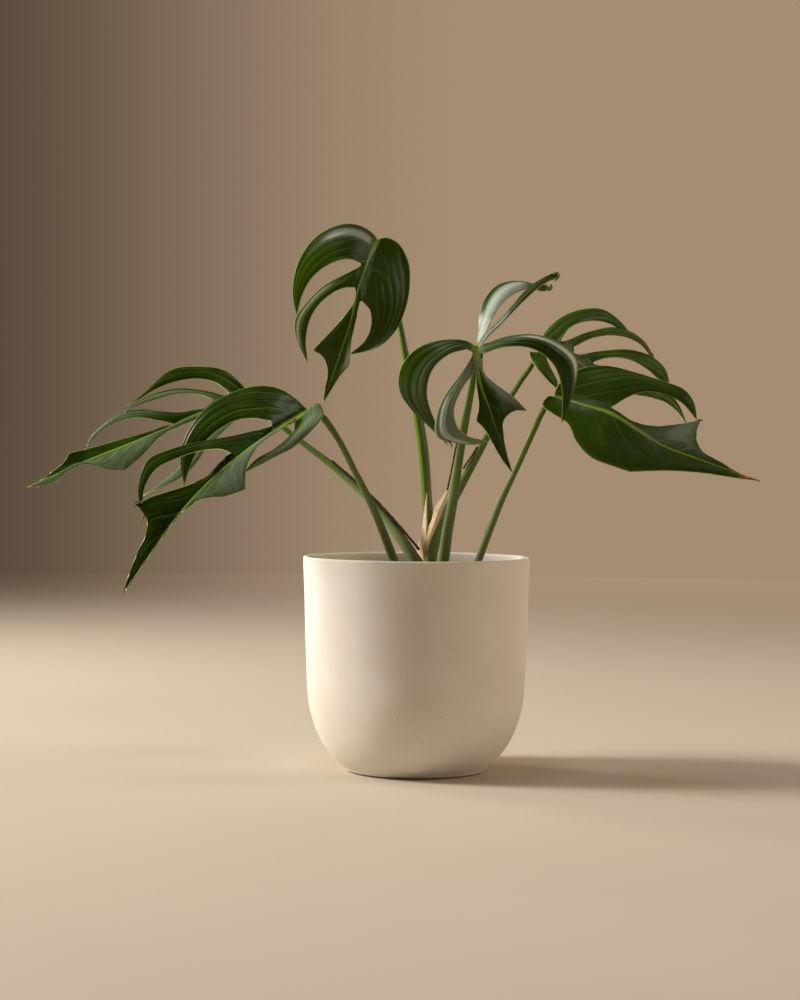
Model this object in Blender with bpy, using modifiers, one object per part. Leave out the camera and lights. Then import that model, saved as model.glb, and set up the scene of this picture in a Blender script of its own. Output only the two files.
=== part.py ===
# A philodendron with six deeply cut leaves, growing in a round ceramic pot.
# Lengths are metres and +Z is up. The pot's axis is the Z axis and it stands on Z = 0.
# A leaf's edges and a stalk's line are points seen from the front: picture x and y in pixels, then
# millimetres behind the pot's axis. in_space puts such a point in its place.

import math

import bmesh
import bpy
from mathutils import Vector
from mathutils.geometry import interpolate_bezier

GAP = 0.0003

VIEW_DISTANCE = 1.945
VIEW_HEIGHT = 0.273
VIEW_CENTRE = (417.5, 460.0)
VIEW_ROLL = math.radians(0.45)
PIXELS_PER_METRE = 1135.0

POT_HEIGHT = 0.188
POT_RIM_RADIUS = 0.100
POT_WAIST_RADIUS = 0.096
POT_WAIST_HEIGHT = 0.080
POT_CURVE_WIDTH = 0.056
POT_CURVE_DEPTH = 0.084
POT_FOOT_RADIUS = 0.053
POT_WALL = 0.0045
POT_FLOOR = 0.008
POT_RIM_ROUNDING = 0.002
POT_STEPS = 48

SOIL_DEPTH_BELOW_RIM = 0.030
SOIL_HEAP = 0.003

CROWN_PLACE = (0.0125, 0.0020)
CROWN_OUTLINE = [(0.0105, 0.128), (0.0140, 0.142), (0.0155, 0.158), (0.0150, 0.168), (0.0120, 0.175), (0.0060, 0.179)]
CROWN_TOP = 0.180
CROWN_STEPS = 20

SPAN = 9
STALK_ROWS = 18
STALK_TIP = 1.6
BLADE_THICKNESS = 0.0010
SHEATH_THICKNESS = 0.0008
WEB_ROWS = 2
LOBE_ROWS = 11
STATION_STEP = 0.04
ARCH = 0.12
SINUS_ROUNDING = 0.3

MATERIALS = {
    "pot": ("#d9cdb4", 0.75),
    "soil": ("#2b2018", 0.95),
    "crown": ("#6d6a3c", 0.6),
    "stalk": ("#5f7a2e", 0.45),
    "blade": ("#2f4a18", 0.32),
    "sheath": ("#b98f5e", 0.8),
}


def lobe(start, end, near, far, tip, arch=ARCH):
    """A lobe that leaves the midrib between the shares start and end and runs out to its own tip."""
    return {"start": start, "end": end, "near": near, "far": far, "tip": tip, "arch": arch}


def tail(start, corner_share, inner, outer, arch=ARCH):
    """The end of one half: its edge runs to a corner, level with corner_share, and on to the leaf's tip."""
    return {"start": start, "corner": corner_share, "inner": inner, "outer": outer, "arch": arch}


BLADES = {
    "blade_top": {
        "midrib": [(378, 240, -20), (368, 262, -36), (357, 295, -47), (350, 325, -50), (340, 355, -49),
                   (331, 380, -45), (323, 404, -40)],
        "halves": [
            [lobe(0, 0.16,
                  [(373, 234, -21), (350, 224, -26), (320, 234, -30), (300, 259, -32), (293, 292, -33)],
                  [(359, 262, -44), (348, 259, -45), (330, 264, -43), (312, 278, -40), (302, 296, -38)],
                  (297, 317, -36)),
             lobe(0.2, 0.32,
                  [(357, 268, -45), (345, 274, -46), (325, 285, -45), (309, 300, -42), (295, 321, -40),
                   (299, 345, -39)],
                  [(353, 287, -49), (344, 288, -49), (327, 297, -47), (312, 315, -44), (306, 338, -42)],
                  (308, 363, -38)),
             tail(0.44, 0.68,
                  [(352, 306, -51), (341, 320, -50), (328, 334, -48), (313, 350, -45)],
                  [(323, 357, -46), (327.5, 370, -46), (325, 388, -43)])],
            [lobe(0, 0.3,
                  [(383, 238, -18), (395, 241.5, -16), (407, 258, -20), (410, 283, -27), (406, 307, -32),
                   (394, 333, -36), (375, 349, -38)],
                  [(363, 302, -50), (369, 309, -49), (371, 325, -46), (366, 339, -43)],
                  (350, 354, -42)),
             tail(0.36, 0.72,
                  [(359, 304, -51), (356, 320, -51), (351, 345, -50), (350, 365, -47)],
                  [(341, 375, -45), (332, 389, -43)])],
        ],
    },
    "blade_front_left": {
        "midrib": [(309, 411, -72), (280, 427, -82), (250, 447, -90), (222, 469, -97), (195, 496, -104),
                   (160, 541, -111), (122, 595, -116)],
        "halves": [
            [lobe(0, 0.16,
                  [(300, 402, -62), (280, 389, -48), (255, 386.5, -36), (228, 395, -29), (207, 408, -28),
                   (192, 425, -32), (182, 447, -40), (181, 468, -48)],
                  [(271, 421.5, -71), (255, 419, -64), (235, 421, -56), (213, 434, -50), (197, 452, -50),
                   (189, 470, -52)],
                  (184, 487, -55)),
             lobe(0.22, 0.42,
                  [(267, 428.5, -76), (235, 436, -68), (200, 442, -62), (170, 450, -60), (149, 459, -60),
                   (140, 480, -64), (139, 500, -70)],
                  [(231, 453, -88), (222, 450, -86), (200, 451, -78), (178, 458, -74), (155, 470, -70),
                   (144, 490, -70)],
                  (144, 518, -76)),
             tail(0.46, 0.72,
                  [(228, 455, -90), (218, 469, -94), (195, 482.5, -95), (165, 492.5, -93), (150, 497.5, -92),
                   (136, 505, -92)],
                  [(146, 514, -98), (147.5, 530, -103), (138, 552, -108), (129, 575, -112)])],
            [lobe(0, 0.06,
                  [(317, 402.5, -80), (323, 410, -88), (319.5, 421.5, -94), (308.5, 434, -98),
                   (293.5, 447.5, -100), (277, 456, -101), (258, 466, -102)],
                  [(295, 424, -84), (293.5, 431, -90), (283, 443, -96), (269.5, 452.5, -99),
                   (255, 460, -101)],
                  (243, 473, -103), 0.2),
             tail(0.12, 0.42,
                  [(289, 424, -82), (272, 434, -90), (255, 450, -98), (246, 470, -106), (245, 490, -112)],
                  [(225, 496.5, -112), (203, 499, -110), (183, 512, -112), (163, 537, -115),
                   (143, 565, -117)], 0.04)],
        ],
    },
    "blade_back_left": {
        "midrib": [(257, 403, 50), (228, 407, 56), (200, 413, 61), (160, 431, 68), (125, 446, 74),
                   (85, 462, 82), (28, 487, 92)],
        "halves": [
            [lobe(0, 0.1,
                  [(250, 395, 55), (240, 382, 64), (225, 370.5, 76), (200, 367, 90), (172, 370, 98),
                   (155, 384, 100), (140, 398, 98)],
                  [(229, 393, 62), (215, 382.5, 72), (195, 379, 82), (173, 382.5, 88), (152, 391, 91),
                   (138, 400, 93)],
                  (127, 405, 94)),
             lobe(0.14, 0.24,
                  [(226, 396, 64), (205, 391.5, 76), (180, 389, 86), (160, 393, 92), (143, 400.5, 92),
                   (130, 408, 90)],
                  [(214, 400, 62), (200, 395, 66), (178, 394, 72), (158, 399, 78), (140, 404.5, 82),
                   (130, 409.5, 84)],
                  (121, 416, 86)),
             lobe(0.28, 0.38,
                  [(207, 408, 64), (180, 413, 74), (160, 411.5, 84), (140, 410, 90), (122, 414, 93),
                   (105, 425, 93), (93, 434, 90)],
                  [(175, 424, 66), (160, 421, 69), (137, 418, 75), (115, 423, 80), (97, 435, 84)],
                  (86, 448, 86)),
             tail(0.44, 0.76,
                  [(172, 426, 68), (150, 432.5, 75), (120, 440, 81), (95, 447, 86), (70, 453, 90)],
                  [(65, 461, 88), (50, 473.5, 89), (38, 482.5, 91)])],
            [lobe(0.02, 0.2,
                  [(242, 415, 48), (222, 433, 42), (206, 449, 40), (195, 465, 40), (180, 478, 43),
                   (160, 488, 48)],
                  [(216, 420, 56), (203, 436, 50), (188, 457, 48), (173, 473.5, 50), (156, 487, 53)],
                  (143, 496, 54)),
             tail(0.26, 0.66,
                  [(203, 417, 60), (180, 426, 62), (160, 437, 62), (142, 456, 60), (125, 470.5, 60)],
                  [(108, 469.5, 66), (84, 463.5, 76), (69, 471, 80), (55, 482, 84), (40, 486.5, 88)])],
        ],
    },
    "blade_front": {
        "midrib": [(476, 346, -86), (477, 360, -93), (481, 388, -101), (488, 406, -104), (496, 428, -104),
                   (503, 447, -101), (513, 474, -96)],
        "halves": [
            [lobe(0, 0.06,
                  [(466, 341, -86), (445, 340, -88), (418, 348, -88), (401, 368, -84), (399.5, 390, -80),
                   (412, 410, -78), (430, 427, -78)],
                  [(467, 349, -93), (448, 355, -98), (433, 369, -100), (427, 391, -96), (430, 408, -88),
                   (438, 427, -84)],
                  (449, 446, -80)),
             lobe(0.1, 0.2,
                  [(471, 358, -96), (460, 375, -102), (445, 395, -108), (436, 418, -111), (436.5, 436, -110),
                   (455, 442.5, -107), (475, 444.5, -106)],
                  [(474, 373, -100), (461, 391, -108), (454, 412, -112), (459, 429, -112),
                   (469, 436.5, -110), (480, 439.5, -108)],
                  (489, 442, -107)),
             tail(0.24, 0.5,
                  [(476, 375, -100), (477, 390, -104), (479, 405, -107), (476, 421, -110)],
                  [(484, 429, -107), (492, 443, -105), (502, 460, -101)])],
            [lobe(0, 0.02,
                  [(478, 334, -82), (479, 318, -76), (484, 301, -70), (497, 286, -64), (515, 281.5, -58),
                   (531, 284.5, -54)],
                  [(487, 331, -84), (491, 321, -79), (497, 311, -74), (506, 300, -68), (518, 292, -62),
                   (531, 288, -57)],
                  (547, 290, -50)),
             lobe(0.02, 0.04,
                  [(490, 329, -84), (502, 317, -78), (514, 304, -70), (522, 294.5, -63), (533, 284.5, -57),
                   (547, 276, -51)],
                  [(488, 337, -88), (500, 326, -84), (511, 314, -79), (526, 299, -71), (540, 287, -63),
                   (553, 281, -56)],
                  (557, 273, -48)),
             lobe(0.04, 0.08,
                  [(484, 344, -90), (505, 337, -92), (535, 335, -92), (563, 345, -90), (576, 356.5, -86),
                   (576, 378, -82), (569, 402, -80)],
                  [(485, 353, -95), (505, 347, -100), (533, 349, -102), (553, 364, -99), (561, 385, -93),
                   (562, 407, -86)],
                  (561, 424, -80)),
             tail(0.1, 0.42,
                  [(483, 358, -95), (484, 373, -99), (497, 386, -101), (512, 396, -101), (527, 411, -100)],
                  [(515, 411, -101), (504.5, 419, -103), (504, 437, -103), (508, 457, -100)])],
        ],
    },
    "blade_back_right": {
        "midrib": [(536, 353, 58), (556, 350, 64), (575, 359, 69), (593, 372, 75), (620, 383, 82),
                   (650, 390.5, 90), (672, 401.5, 94), (688, 428, 96)],
        "halves": [
            [lobe(0, 0.1,
                  [(530, 352, 50), (531, 359, 47), (536, 367, 44), (546, 378.5, 42)],
                  [(546, 357, 58), (549.5, 366.5, 54), (554, 375, 49), (557.5, 382, 46)],
                  (557, 389, 44)),
             lobe(0.14, 0.34,
                  [(557, 363, 63), (562, 376, 58), (575, 394, 50), (592, 416, 44)],
                  [(590, 384, 68), (598, 398, 60), (608, 418, 52)],
                  (618, 440, 46)),
             tail(0.4, 0.66,
                  [(606, 385, 74), (620, 391.5, 76), (640, 395.5, 82)],
                  [(655, 398.5, 87), (669, 404.5, 91), (679, 414, 94)])],
            [lobe(0, 0.1,
                  [(537, 349, 62), (545, 332, 72), (560, 318, 84), (580, 310, 94), (603, 310, 101),
                   (620, 322, 105), (632, 337, 106)],
                  [(561, 340, 72), (570, 328, 80), (590, 321, 88), (610, 324, 95), (626, 334, 101)],
                  (641, 342, 104)),
             lobe(0.14, 0.22,
                  [(566, 341, 80), (590, 332, 94), (618, 328.5, 104), (639, 338, 108), (651, 354, 108)],
                  [(574, 347, 74), (595, 337.5, 80), (620, 336, 87), (640, 344, 95), (650, 356, 101)],
                  (655.5, 367, 106)),
             lobe(0.26, 0.36,
                  [(580, 355, 80), (605, 351, 92), (632, 350.5, 101), (655, 359, 105), (666, 371, 105)],
                  [(593, 362, 76), (608, 358, 80), (630, 360, 87), (648, 370, 94), (660, 380, 99)],
                  (669, 383, 103)),
             tail(0.42, 0.7,
                  [(599, 365.5, 80), (620, 372, 86), (645, 380, 92), (664, 388, 97)],
                  [(673, 397, 98), (681, 410, 97)])],
        ],
    },
    "blade_right": {
        "midrib": [(553, 397, -33), (575, 402, -42), (610, 413, -52), (640, 432, -57), (662, 446, -59),
                   (700, 460, -61), (760, 481, -62)],
        "halves": [
            [tail(0, 0.42,
                  [(547, 397, -34), (542, 404, -38), (553, 414, -46), (568, 424, -52), (576, 441, -60),
                   (592, 458, -68), (612, 466, -72), (630, 472, -74)],
                  [(670, 471, -72), (705, 473.5, -68), (735, 478, -64)])],
            [lobe(0, 0.26,
                  [(556, 388, -30), (575, 371, -26), (602, 366, -22), (635, 373, -22), (662, 381.5, -25),
                   (685, 390.5, -30), (694, 403, -35)],
                  [(614, 406, -47), (625, 399, -44), (645, 392, -38), (665, 394.5, -36), (683, 404, -37),
                   (692, 414, -39)],
                  (697, 420, -40)),
             tail(0.32, 0.62,
                  [(618, 412, -49), (632, 421, -52), (652, 426, -52), (677, 424, -48), (700, 420, -46)],
                  [(696, 432, -50), (700, 449, -56), (720, 462, -59), (740, 475, -61)])],
        ],
    },
}

# Each stalk point ends with the stalk's thickness there in millimetres.
STALKS = {
    "stalk_top": [(430, 582, 11, 10.0), (430, 558, 14, 10.0), (427, 500, 12, 9.2), (423, 450, 11, 9.6),
                  (417, 410, 8, 8.6), (405.5, 355, 1, 6.2), (401, 330, -2, 5.2), (391, 285, -9, 5.0),
                  (382, 251, -15, 5.0), (378, 240, -20, STALK_TIP)],
    "stalk_front_left": [(411, 607, -12, 9.0), (394, 561, -22, 8.3), (373, 508, -42, 6.8),
                         (354, 470, -55, 5.5), (337.5, 438, -66, 5.2), (329.5, 426, -68, 5.8),
                         (322, 417, -71, 6.2), (309, 411, -72, STALK_TIP)],
    "stalk_back_left": [(432, 586, -4, 11.0), (416, 561, -9, 10.5), (380, 511, 6, 8.4), (340, 472, 24, 6.8),
                        (300, 441, 38, 5.2), (283, 427.5, 43, 5.2), (264, 409, 48, 5.0),
                        (257, 403, 50, STALK_TIP)],
    "stalk_front": [(437, 584, -5, 11.0), (443, 561, -13, 10.5), (447.5, 530, -22, 9.6), (453, 500, -31, 8.7),
                    (457.5, 470, -40, 7.3), (460.5, 450, -46, 7.0), (465.5, 420, -57, 6.8), (469.5, 400, -65, 6.0),
                    (473.5, 375, -75, 5.2), (475, 357, -80, 5.0), (476, 346, -86, STALK_TIP)],
    "stalk_back_right": [(431, 582, -1, 10.5), (431, 561, 0, 10.5), (435, 540, 3, 10.5), (451, 504, 15, 8.8),
                         (462.5, 482, 22, 8.2), (480, 450, 30, 7.2), (489, 433, 35, 6.2), (512, 395, 46, 4.8),
                         (521.5, 380, 51, 4.7), (530, 368, 56, 4.7), (534.5, 360, 57, 4.4),
                         (536, 353, 58, STALK_TIP)],
    "stalk_right": [(462, 607, -6, 7.6), (477, 561, -10, 7.1), (487, 530, -14, 6.6), (502, 499, -19, 6.0),
                    (513.5, 475, -23, 5.2), (525, 450, -26, 5.2), (534, 430, -28, 5.2), (543, 411, -29, 5.2),
                    (549, 402, -30, 5.0), (553, 397, -33, STALK_TIP)],
}
ROOTED_IN_SOIL = ("stalk_front_left", "stalk_right")

# The dry sheath is one skirt that splits into two prongs. Each row runs from its left to its right edge.
SHEATH_SKIRT = [[(420.5, 570, 5), (422.5, 571, 4), (424, 570, 3)],
                [(418.5, 547, 4), (422, 548, -1), (425.5, 548, -2)],
                [(421.5, 533, 5), (424.5, 533, 1), (428, 536, 0)]]
SHEATH_PRONGS = [
    [[(422.5, 522, 6), (424.7, 522, 3), (427, 523, 4)],
     [(424, 508, 6), (425.7, 508, 4), (427.5, 508, 5)],
     [(427, 493, 6)]],
    [[(430, 525, 1), (433.5, 527, -1), (436.5, 526, 1)],
     [(436, 506, 4), (440, 508, 2), (444, 508, 4)],
     [(449, 486, 6)]],
]


def in_space(point):
    """Where a picture point lies, its third value being the millimetres behind the pot's axis."""
    right, down = point[0] - VIEW_CENTRE[0], point[1] - VIEW_CENTRE[1]
    across = (right * math.cos(VIEW_ROLL) + down * math.sin(VIEW_ROLL)) / PIXELS_PER_METRE
    drop = (down * math.cos(VIEW_ROLL) - right * math.sin(VIEW_ROLL)) / PIXELS_PER_METRE
    depth = point[2] / 1000
    spread = (VIEW_DISTANCE + depth) / VIEW_DISTANCE
    return Vector((across * spread, depth, VIEW_HEIGHT - drop * spread))


def directions(points):
    """The way that a smooth line takes at each of the points."""
    steps = [b - a for a, b in zip(points, points[1:])]
    inner = [a.normalized() * b.length + b.normalized() * a.length for a, b in zip(steps, steps[1:])]
    return [way.normalized() for way in [steps[0], *inner, steps[-1]]]


def smooth_line(points):
    """A smooth line through the points, with SPAN - 1 steps from each to the next."""
    ways = directions(points)
    line = [points[0]]
    for a, b, way_a, way_b in zip(points, points[1:], ways, ways[1:]):
        reach = (b - a).length / 3
        line += interpolate_bezier(a, a + way_a * reach, b - way_b * reach, b, SPAN)[1:]
    return line


def along(line, share):
    """The point at this share of a line's length."""
    lengths = [(b - a).length for a, b in zip(line, line[1:])]
    left = share * sum(lengths)
    for a, b, length in zip(line, line[1:], lengths):
        if left <= length:
            return a.lerp(b, left / length) if length else a
        left -= length
    return line[-1]


def evenly(line, steps):
    return [along(line, i / steps) for i in range(steps + 1)]


def edge_line(root, edge, rows):
    """A lobe's edge: WEB_ROWS steps inside the blade up to the first point of edge, then its free part."""
    line = smooth_line([root, *map(in_space, edge)])
    return evenly(line[:SPAN], WEB_ROWS) + evenly(line[SPAN - 1:], rows)[1:]


def arched(a, b, way, share, rise):
    """A point between a and b, lifted across the way by rise times their distance at the middle."""
    across = b - a
    lift = way.cross(across).normalized() * across.length * rise * 4 * share * (1 - share)
    return a.lerp(b, share) + lift


def add_grid(mesh, rows):
    """Faces between rows of points. Points that coincide are merged later."""
    for upper, lower in zip(rows, rows[1:]):
        for i in range(len(upper) - 1):
            corners = (upper[i], lower[i], lower[i + 1], upper[i + 1])
            mesh.faces.new([mesh.verts.new(corner) for corner in corners])


def stations_of(halves):
    """Shares of the midrib where both halves have a point, no further apart than STATION_STEP."""
    marks = {0.0, 1.0}
    for half in halves:
        for piece in half:
            end = piece.get("end", 1.0)
            marks |= {piece["start"], end, piece.get("corner", (piece["start"] + end) / 2)}
    marks = sorted(marks)
    stations = [0.0]
    for a, b in zip(marks, marks[1:]):
        count = math.ceil((b - a) / STATION_STEP)
        stations += [a + (b - a) * i / count for i in range(1, count + 1)]
    return stations


def between(stations, start, end):
    return [s for s in stations if start - 1e-6 <= s <= end + 1e-6]


def add_lobe(mesh, midrib, stations, piece, side):
    """Adds a lobe and returns its two edges."""
    shares = between(stations, piece["start"], piece["end"])
    tip = [piece["tip"]]
    near = edge_line(along(midrib, shares[0]), piece["near"] + tip, LOBE_ROWS)
    far = edge_line(along(midrib, shares[-1]), piece["far"] + tip, LOBE_ROWS)
    rows = [[along(midrib, s) for s in shares]]
    for i in range(1, len(near)):
        after = min(i + 1, len(near) - 1)
        way = near[after] + far[after] - near[i - 1] - far[i - 1]
        rise = side * piece["arch"] * min(1, i / WEB_ROWS)
        places = [(s - shares[0]) / (shares[-1] - shares[0]) for s in shares]
        rows.append([arched(near[i], far[i], way, place, rise) for place in places])
    add_grid(mesh, rows)
    return near, far


def add_tail(mesh, midrib, stations, piece, side):
    """Adds the end of a half and returns its first row, from the midrib to the edge."""
    tip = midrib[-1]
    inner = smooth_line([in_space(p) for p in piece["inner"]])
    outer = smooth_line([inner[-1], *map(in_space, piece["outer"]), tip])
    rows = []
    for s in between(stations, piece["start"], 1):
        if s <= piece["corner"]:
            edge = along(inner, (s - piece["start"]) / (piece["corner"] - piece["start"]))
        else:
            edge = along(outer, (s - piece["corner"]) / (1 - piece["corner"]))
        way = along(midrib, min(1, s + 0.02)) - along(midrib, max(0, s - 0.02))
        middle = along(midrib, s)
        rise = -side * piece["arch"]
        rows.append([arched(middle, edge, way, i / WEB_ROWS, rise) for i in range(WEB_ROWS + 1)])
    add_grid(mesh, rows)
    return rows[0]


def add_web(mesh, midrib, shares, before, after):
    """The stretch of blade between two lobes, from the midrib to the rounded end of their cut."""
    rows = [[along(midrib, s) for s in shares]]
    for i in range(1, WEB_ROWS + 1):
        places = [(s - shares[0]) / (shares[-1] - shares[0]) for s in shares]
        row = [before[i].lerp(after[i], place) for place in places]
        if i == WEB_ROWS:
            inward = rows[-1][0].lerp(rows[-1][-1], 0.5) - row[0].lerp(row[-1], 0.5)
            depth = SINUS_ROUNDING * (row[0] - row[-1]).length
            row = [p + inward.normalized() * depth * 4 * t * (1 - t) for p, t in zip(row, places)]
        rows.append(row)
    add_grid(mesh, rows)


def blade_surface(blade):
    """The blade's middle surface as a mesh, lofted half by half and lobe by lobe."""
    mesh = bmesh.new()
    midrib = smooth_line([in_space(p) for p in blade["midrib"]])
    stations = stations_of(blade["halves"])
    for half, side in zip(blade["halves"], (1, -1)):
        before = None
        for piece in half:
            if "tip" in piece:
                first, last = add_lobe(mesh, midrib, stations, piece, side)
            else:
                first, last = add_tail(mesh, midrib, stations, piece, side), None
            if before and piece["start"] > before_share:
                add_web(mesh, midrib, between(stations, before_share, piece["start"]), before, first)
            before, before_share = last, piece.get("end")
    bmesh.ops.remove_doubles(mesh, verts=mesh.verts, dist=0.00002)
    bmesh.ops.dissolve_degenerate(mesh, edges=mesh.edges, dist=0.00002)
    bmesh.ops.recalc_face_normals(mesh, faces=mesh.faces)
    return mesh


def new_object(name, data, collection):
    thing = bpy.data.objects.new(name, data)
    collection.objects.link(thing)
    return thing


def object_from(name, mesh, collection):
    data = bpy.data.meshes.new(name)
    mesh.to_mesh(data)
    mesh.free()
    return new_object(name, data, collection)


def thicken(thing, thickness):
    """Makes an open surface a thin closed solid, split into triangles alike on both faces."""
    thing.modifiers.new("Triangles", "TRIANGULATE")
    shell = thing.modifiers.new("Thickness", "SOLIDIFY")
    shell.thickness = thickness
    shell.offset = 0


def turned(name, profile, steps, collection, place=(0, 0)):
    """A round body from a profile of (radius, height) points that runs down its outer side."""
    mesh = bmesh.new()
    corners = [mesh.verts.new((radius, 0, height)) for radius, height in profile]
    for a, b in zip(corners, corners[1:]):
        mesh.edges.new((a, b))
    thing = object_from(name, mesh, collection)
    thing.location = (*place, 0)
    screw = thing.modifiers.new("Turn", "SCREW")
    screw.steps = screw.render_steps = steps
    screw.use_merge_vertices = True
    screw.merge_threshold = 0.0001
    screw.use_smooth_shade = True
    return thing


def as_mesh(thing):
    """The object as its modifiers and bevel leave it, as a mesh object of the same name."""
    graph = bpy.context.evaluated_depsgraph_get()
    data = bpy.data.meshes.new_from_object(thing.evaluated_get(graph))
    mesh = bmesh.new()
    mesh.from_mesh(data)
    bmesh.ops.remove_doubles(mesh, verts=mesh.verts, dist=0.00001)
    bmesh.ops.recalc_face_normals(mesh, faces=mesh.faces)
    mesh.to_mesh(data)
    mesh.free()
    name, place, collection = thing.name, thing.matrix_world.copy(), thing.users_collection[0]
    bpy.data.objects.remove(thing)
    made = new_object(name, data, collection)
    made.matrix_world = place
    return made


def stalk(name, points, collection, grow=0.0):
    """A round stalk that thins along its line, as a closed mesh."""
    line = smooth_line([in_space(p) for p in points])
    widths = [p[3] / 1000 for p in points]
    curve = bpy.data.curves.new(name, "CURVE")
    curve.dimensions = "3D"
    curve.bevel_depth = 1.0
    curve.bevel_resolution = 3
    curve.use_fill_caps = True
    curve.twist_mode = "MINIMUM"
    spline = curve.splines.new("POLY")
    spline.points.add(STALK_ROWS)
    for i, point in enumerate(spline.points):
        share = i / STALK_ROWS
        point.co = (*along(line, share), 1)
        point.radius = width_at(line, widths, share) / 2 + grow
    return as_mesh(new_object(name, curve, collection))


def width_at(line, widths, share):
    """The width at a share of the line's length, read between the widths at its points."""
    lengths = [(b - a).length for a, b in zip(line, line[1:])]
    left, i = share * sum(lengths), 0
    while i < len(lengths) - 1 and left > lengths[i]:
        left -= lengths[i]
        i += 1
    span, step = divmod(i, SPAN - 1)
    part = (step + min(1, left / lengths[i])) / (SPAN - 1)
    return widths[span] + (widths[span + 1] - widths[span]) * part


def cut(thing, cutter):
    boolean = thing.modifiers.new("Cut", "BOOLEAN")
    boolean.operation = "DIFFERENCE"
    boolean.object = cutter


def pot_side(height, inset):
    """The wall's radius at a height, the given depth inside the outer face."""
    if height >= POT_WAIST_HEIGHT:
        share = (height - POT_WAIST_HEIGHT) / (POT_HEIGHT - POT_WAIST_HEIGHT)
        return POT_WAIST_RADIUS + (POT_RIM_RADIUS - POT_WAIST_RADIUS) * share - inset
    fall = (POT_WAIST_HEIGHT - height) / (POT_CURVE_DEPTH - 2 * inset)
    width = POT_CURVE_WIDTH - inset
    return POT_WAIST_RADIUS - POT_CURVE_WIDTH + width * math.sqrt(1 - fall * fall)


def pot_profile():
    inner = [(pot_side(h / 1000, POT_WALL), h / 1000) for h in (8, 11, 16, 24, 36, 52, 80, 134)]
    outer = [(pot_side(h / 1000, 0), h / 1000) for h in (134, 80, 62, 46, 32, 21, 12, 6.5, 3.4)]
    middle = POT_RIM_RADIUS - POT_WALL / 2
    rim = []
    for i in range(7):
        turn = math.pi * (1 - i / 6)
        rim.append((middle + POT_WALL / 2 * math.cos(turn),
                    POT_HEIGHT - POT_RIM_ROUNDING * (1 - math.sin(turn))))
    foot = [(POT_FOOT_RADIUS + 0.0066, 0.0018), (POT_FOOT_RADIUS + 0.0035, 0.0005), (POT_FOOT_RADIUS, 0)]
    return [(0, POT_FLOOR), *inner, *rim, *outer, *foot, (0, 0)]


def soil_profile():
    top = POT_HEIGHT - SOIL_DEPTH_BELOW_RIM
    floor = POT_FLOOR + GAP
    wall = POT_WALL + 1.5 * GAP
    side = [(pot_side(h / 1000, wall) - GAP, h / 1000) for h in (134, 80, 52, 36, 24, 16, 11)]
    brim = pot_side(top, wall)
    return [(0, top + SOIL_HEAP), (brim * 0.6, top + SOIL_HEAP * 0.7), (brim, top), *side,
            (pot_side(floor, wall) - 0.001, floor), (0, floor)]


def crown_profile(grow=0.0):
    """The crown's profile from its top down, made larger all round by grow."""
    foot_radius, foot_height = CROWN_OUTLINE[0]
    bottom = foot_height - grow
    side = [(radius + grow, height + grow) for radius, height in reversed(CROWN_OUTLINE[1:])]
    return [(0, CROWN_TOP + grow), *side, (foot_radius + grow, bottom), (0, bottom)]


def sheath_surface():
    """The papery skirt around the youngest stalk, and its two prongs."""
    mesh = bmesh.new()
    skirt = []
    for row in SHEATH_SKIRT:
        left, middle, right = map(in_space, row)
        skirt.append([left, left.lerp(middle, 0.5), middle, middle.lerp(right, 0.5), right])
    add_grid(mesh, skirt)
    for prong, base in zip(SHEATH_PRONGS, (skirt[-1][:3], skirt[-1][2:])):
        rows = [base] + [[in_space(p) for p in row] for row in prong[:-1]]
        rows.append([in_space(prong[-1][0])] * 3)
        add_grid(mesh, rows)
    bmesh.ops.remove_doubles(mesh, verts=mesh.verts, dist=0.00002)
    bmesh.ops.recalc_face_normals(mesh, faces=mesh.faces)
    return mesh


def paint(thing, kind):
    """Gives the object its own material."""
    colour, roughness = MATERIALS[kind]
    material = bpy.data.materials.new(thing.name)
    material.use_nodes = True
    shader = material.node_tree.nodes["Principled BSDF"]
    parts = [int(colour[i:i + 2], 16) / 255 for i in (1, 3, 5)]
    linear = [c / 12.92 if c <= 0.04045 else ((c + 0.055) / 1.055) ** 2.4 for c in parts]
    shader.inputs["Base Color"].default_value = (*linear, 1)
    shader.inputs["Roughness"].default_value = roughness
    shader.inputs["Metallic"].default_value = 0.0
    thing.data.materials.append(material)


def clear_scene():
    for thing in list(bpy.data.objects):
        bpy.data.objects.remove(thing)


def new_collection(name):
    collection = bpy.data.collections.new(name)
    bpy.context.scene.collection.children.link(collection)
    return collection


def main():
    clear_scene()
    parts = new_collection("potted_philodendron")
    cutters = new_collection("cutters")
    cutters.hide_render = True

    pot = turned("pot", pot_profile(), POT_STEPS, parts)
    soil = turned("soil", soil_profile(), POT_STEPS, parts)
    crown = turned("crown", crown_profile(), CROWN_STEPS, parts, CROWN_PLACE)
    crown_hole = turned("crown_hole", crown_profile(GAP), CROWN_STEPS, cutters, CROWN_PLACE)
    crown_hole = as_mesh(crown_hole)
    cut(soil, crown_hole)
    for thing, kind in ((pot, "pot"), (soil, "soil"), (crown, "crown")):
        paint(thing, kind)

    for name, points in STALKS.items():
        thing = stalk(name, points, parts)
        paint(thing, "stalk")
        if name in ROOTED_IN_SOIL:
            hole = stalk(name + "_hole", points, cutters, GAP)
            cut(soil, hole)
        else:
            cut(thing, crown_hole)

    for name, blade in BLADES.items():
        thing = object_from(name, blade_surface(blade), parts)
        thicken(thing, BLADE_THICKNESS)
        paint(thing, "blade")
        hole = object_from(name + "_hole", blade_surface(blade), cutters)
        thicken(hole, BLADE_THICKNESS + 2 * GAP)
        cut(parts.objects[name.replace("blade", "stalk")], hole)

    sheath = object_from("sheath", sheath_surface(), parts)
    thicken(sheath, SHEATH_THICKNESS)
    cut(sheath, crown_hole)
    paint(sheath, "sheath")

    for cutter in cutters.objects:
        cutter.display_type = "WIRE"
        cutter.hide_render = True


main()
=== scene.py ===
import math
import random

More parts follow.
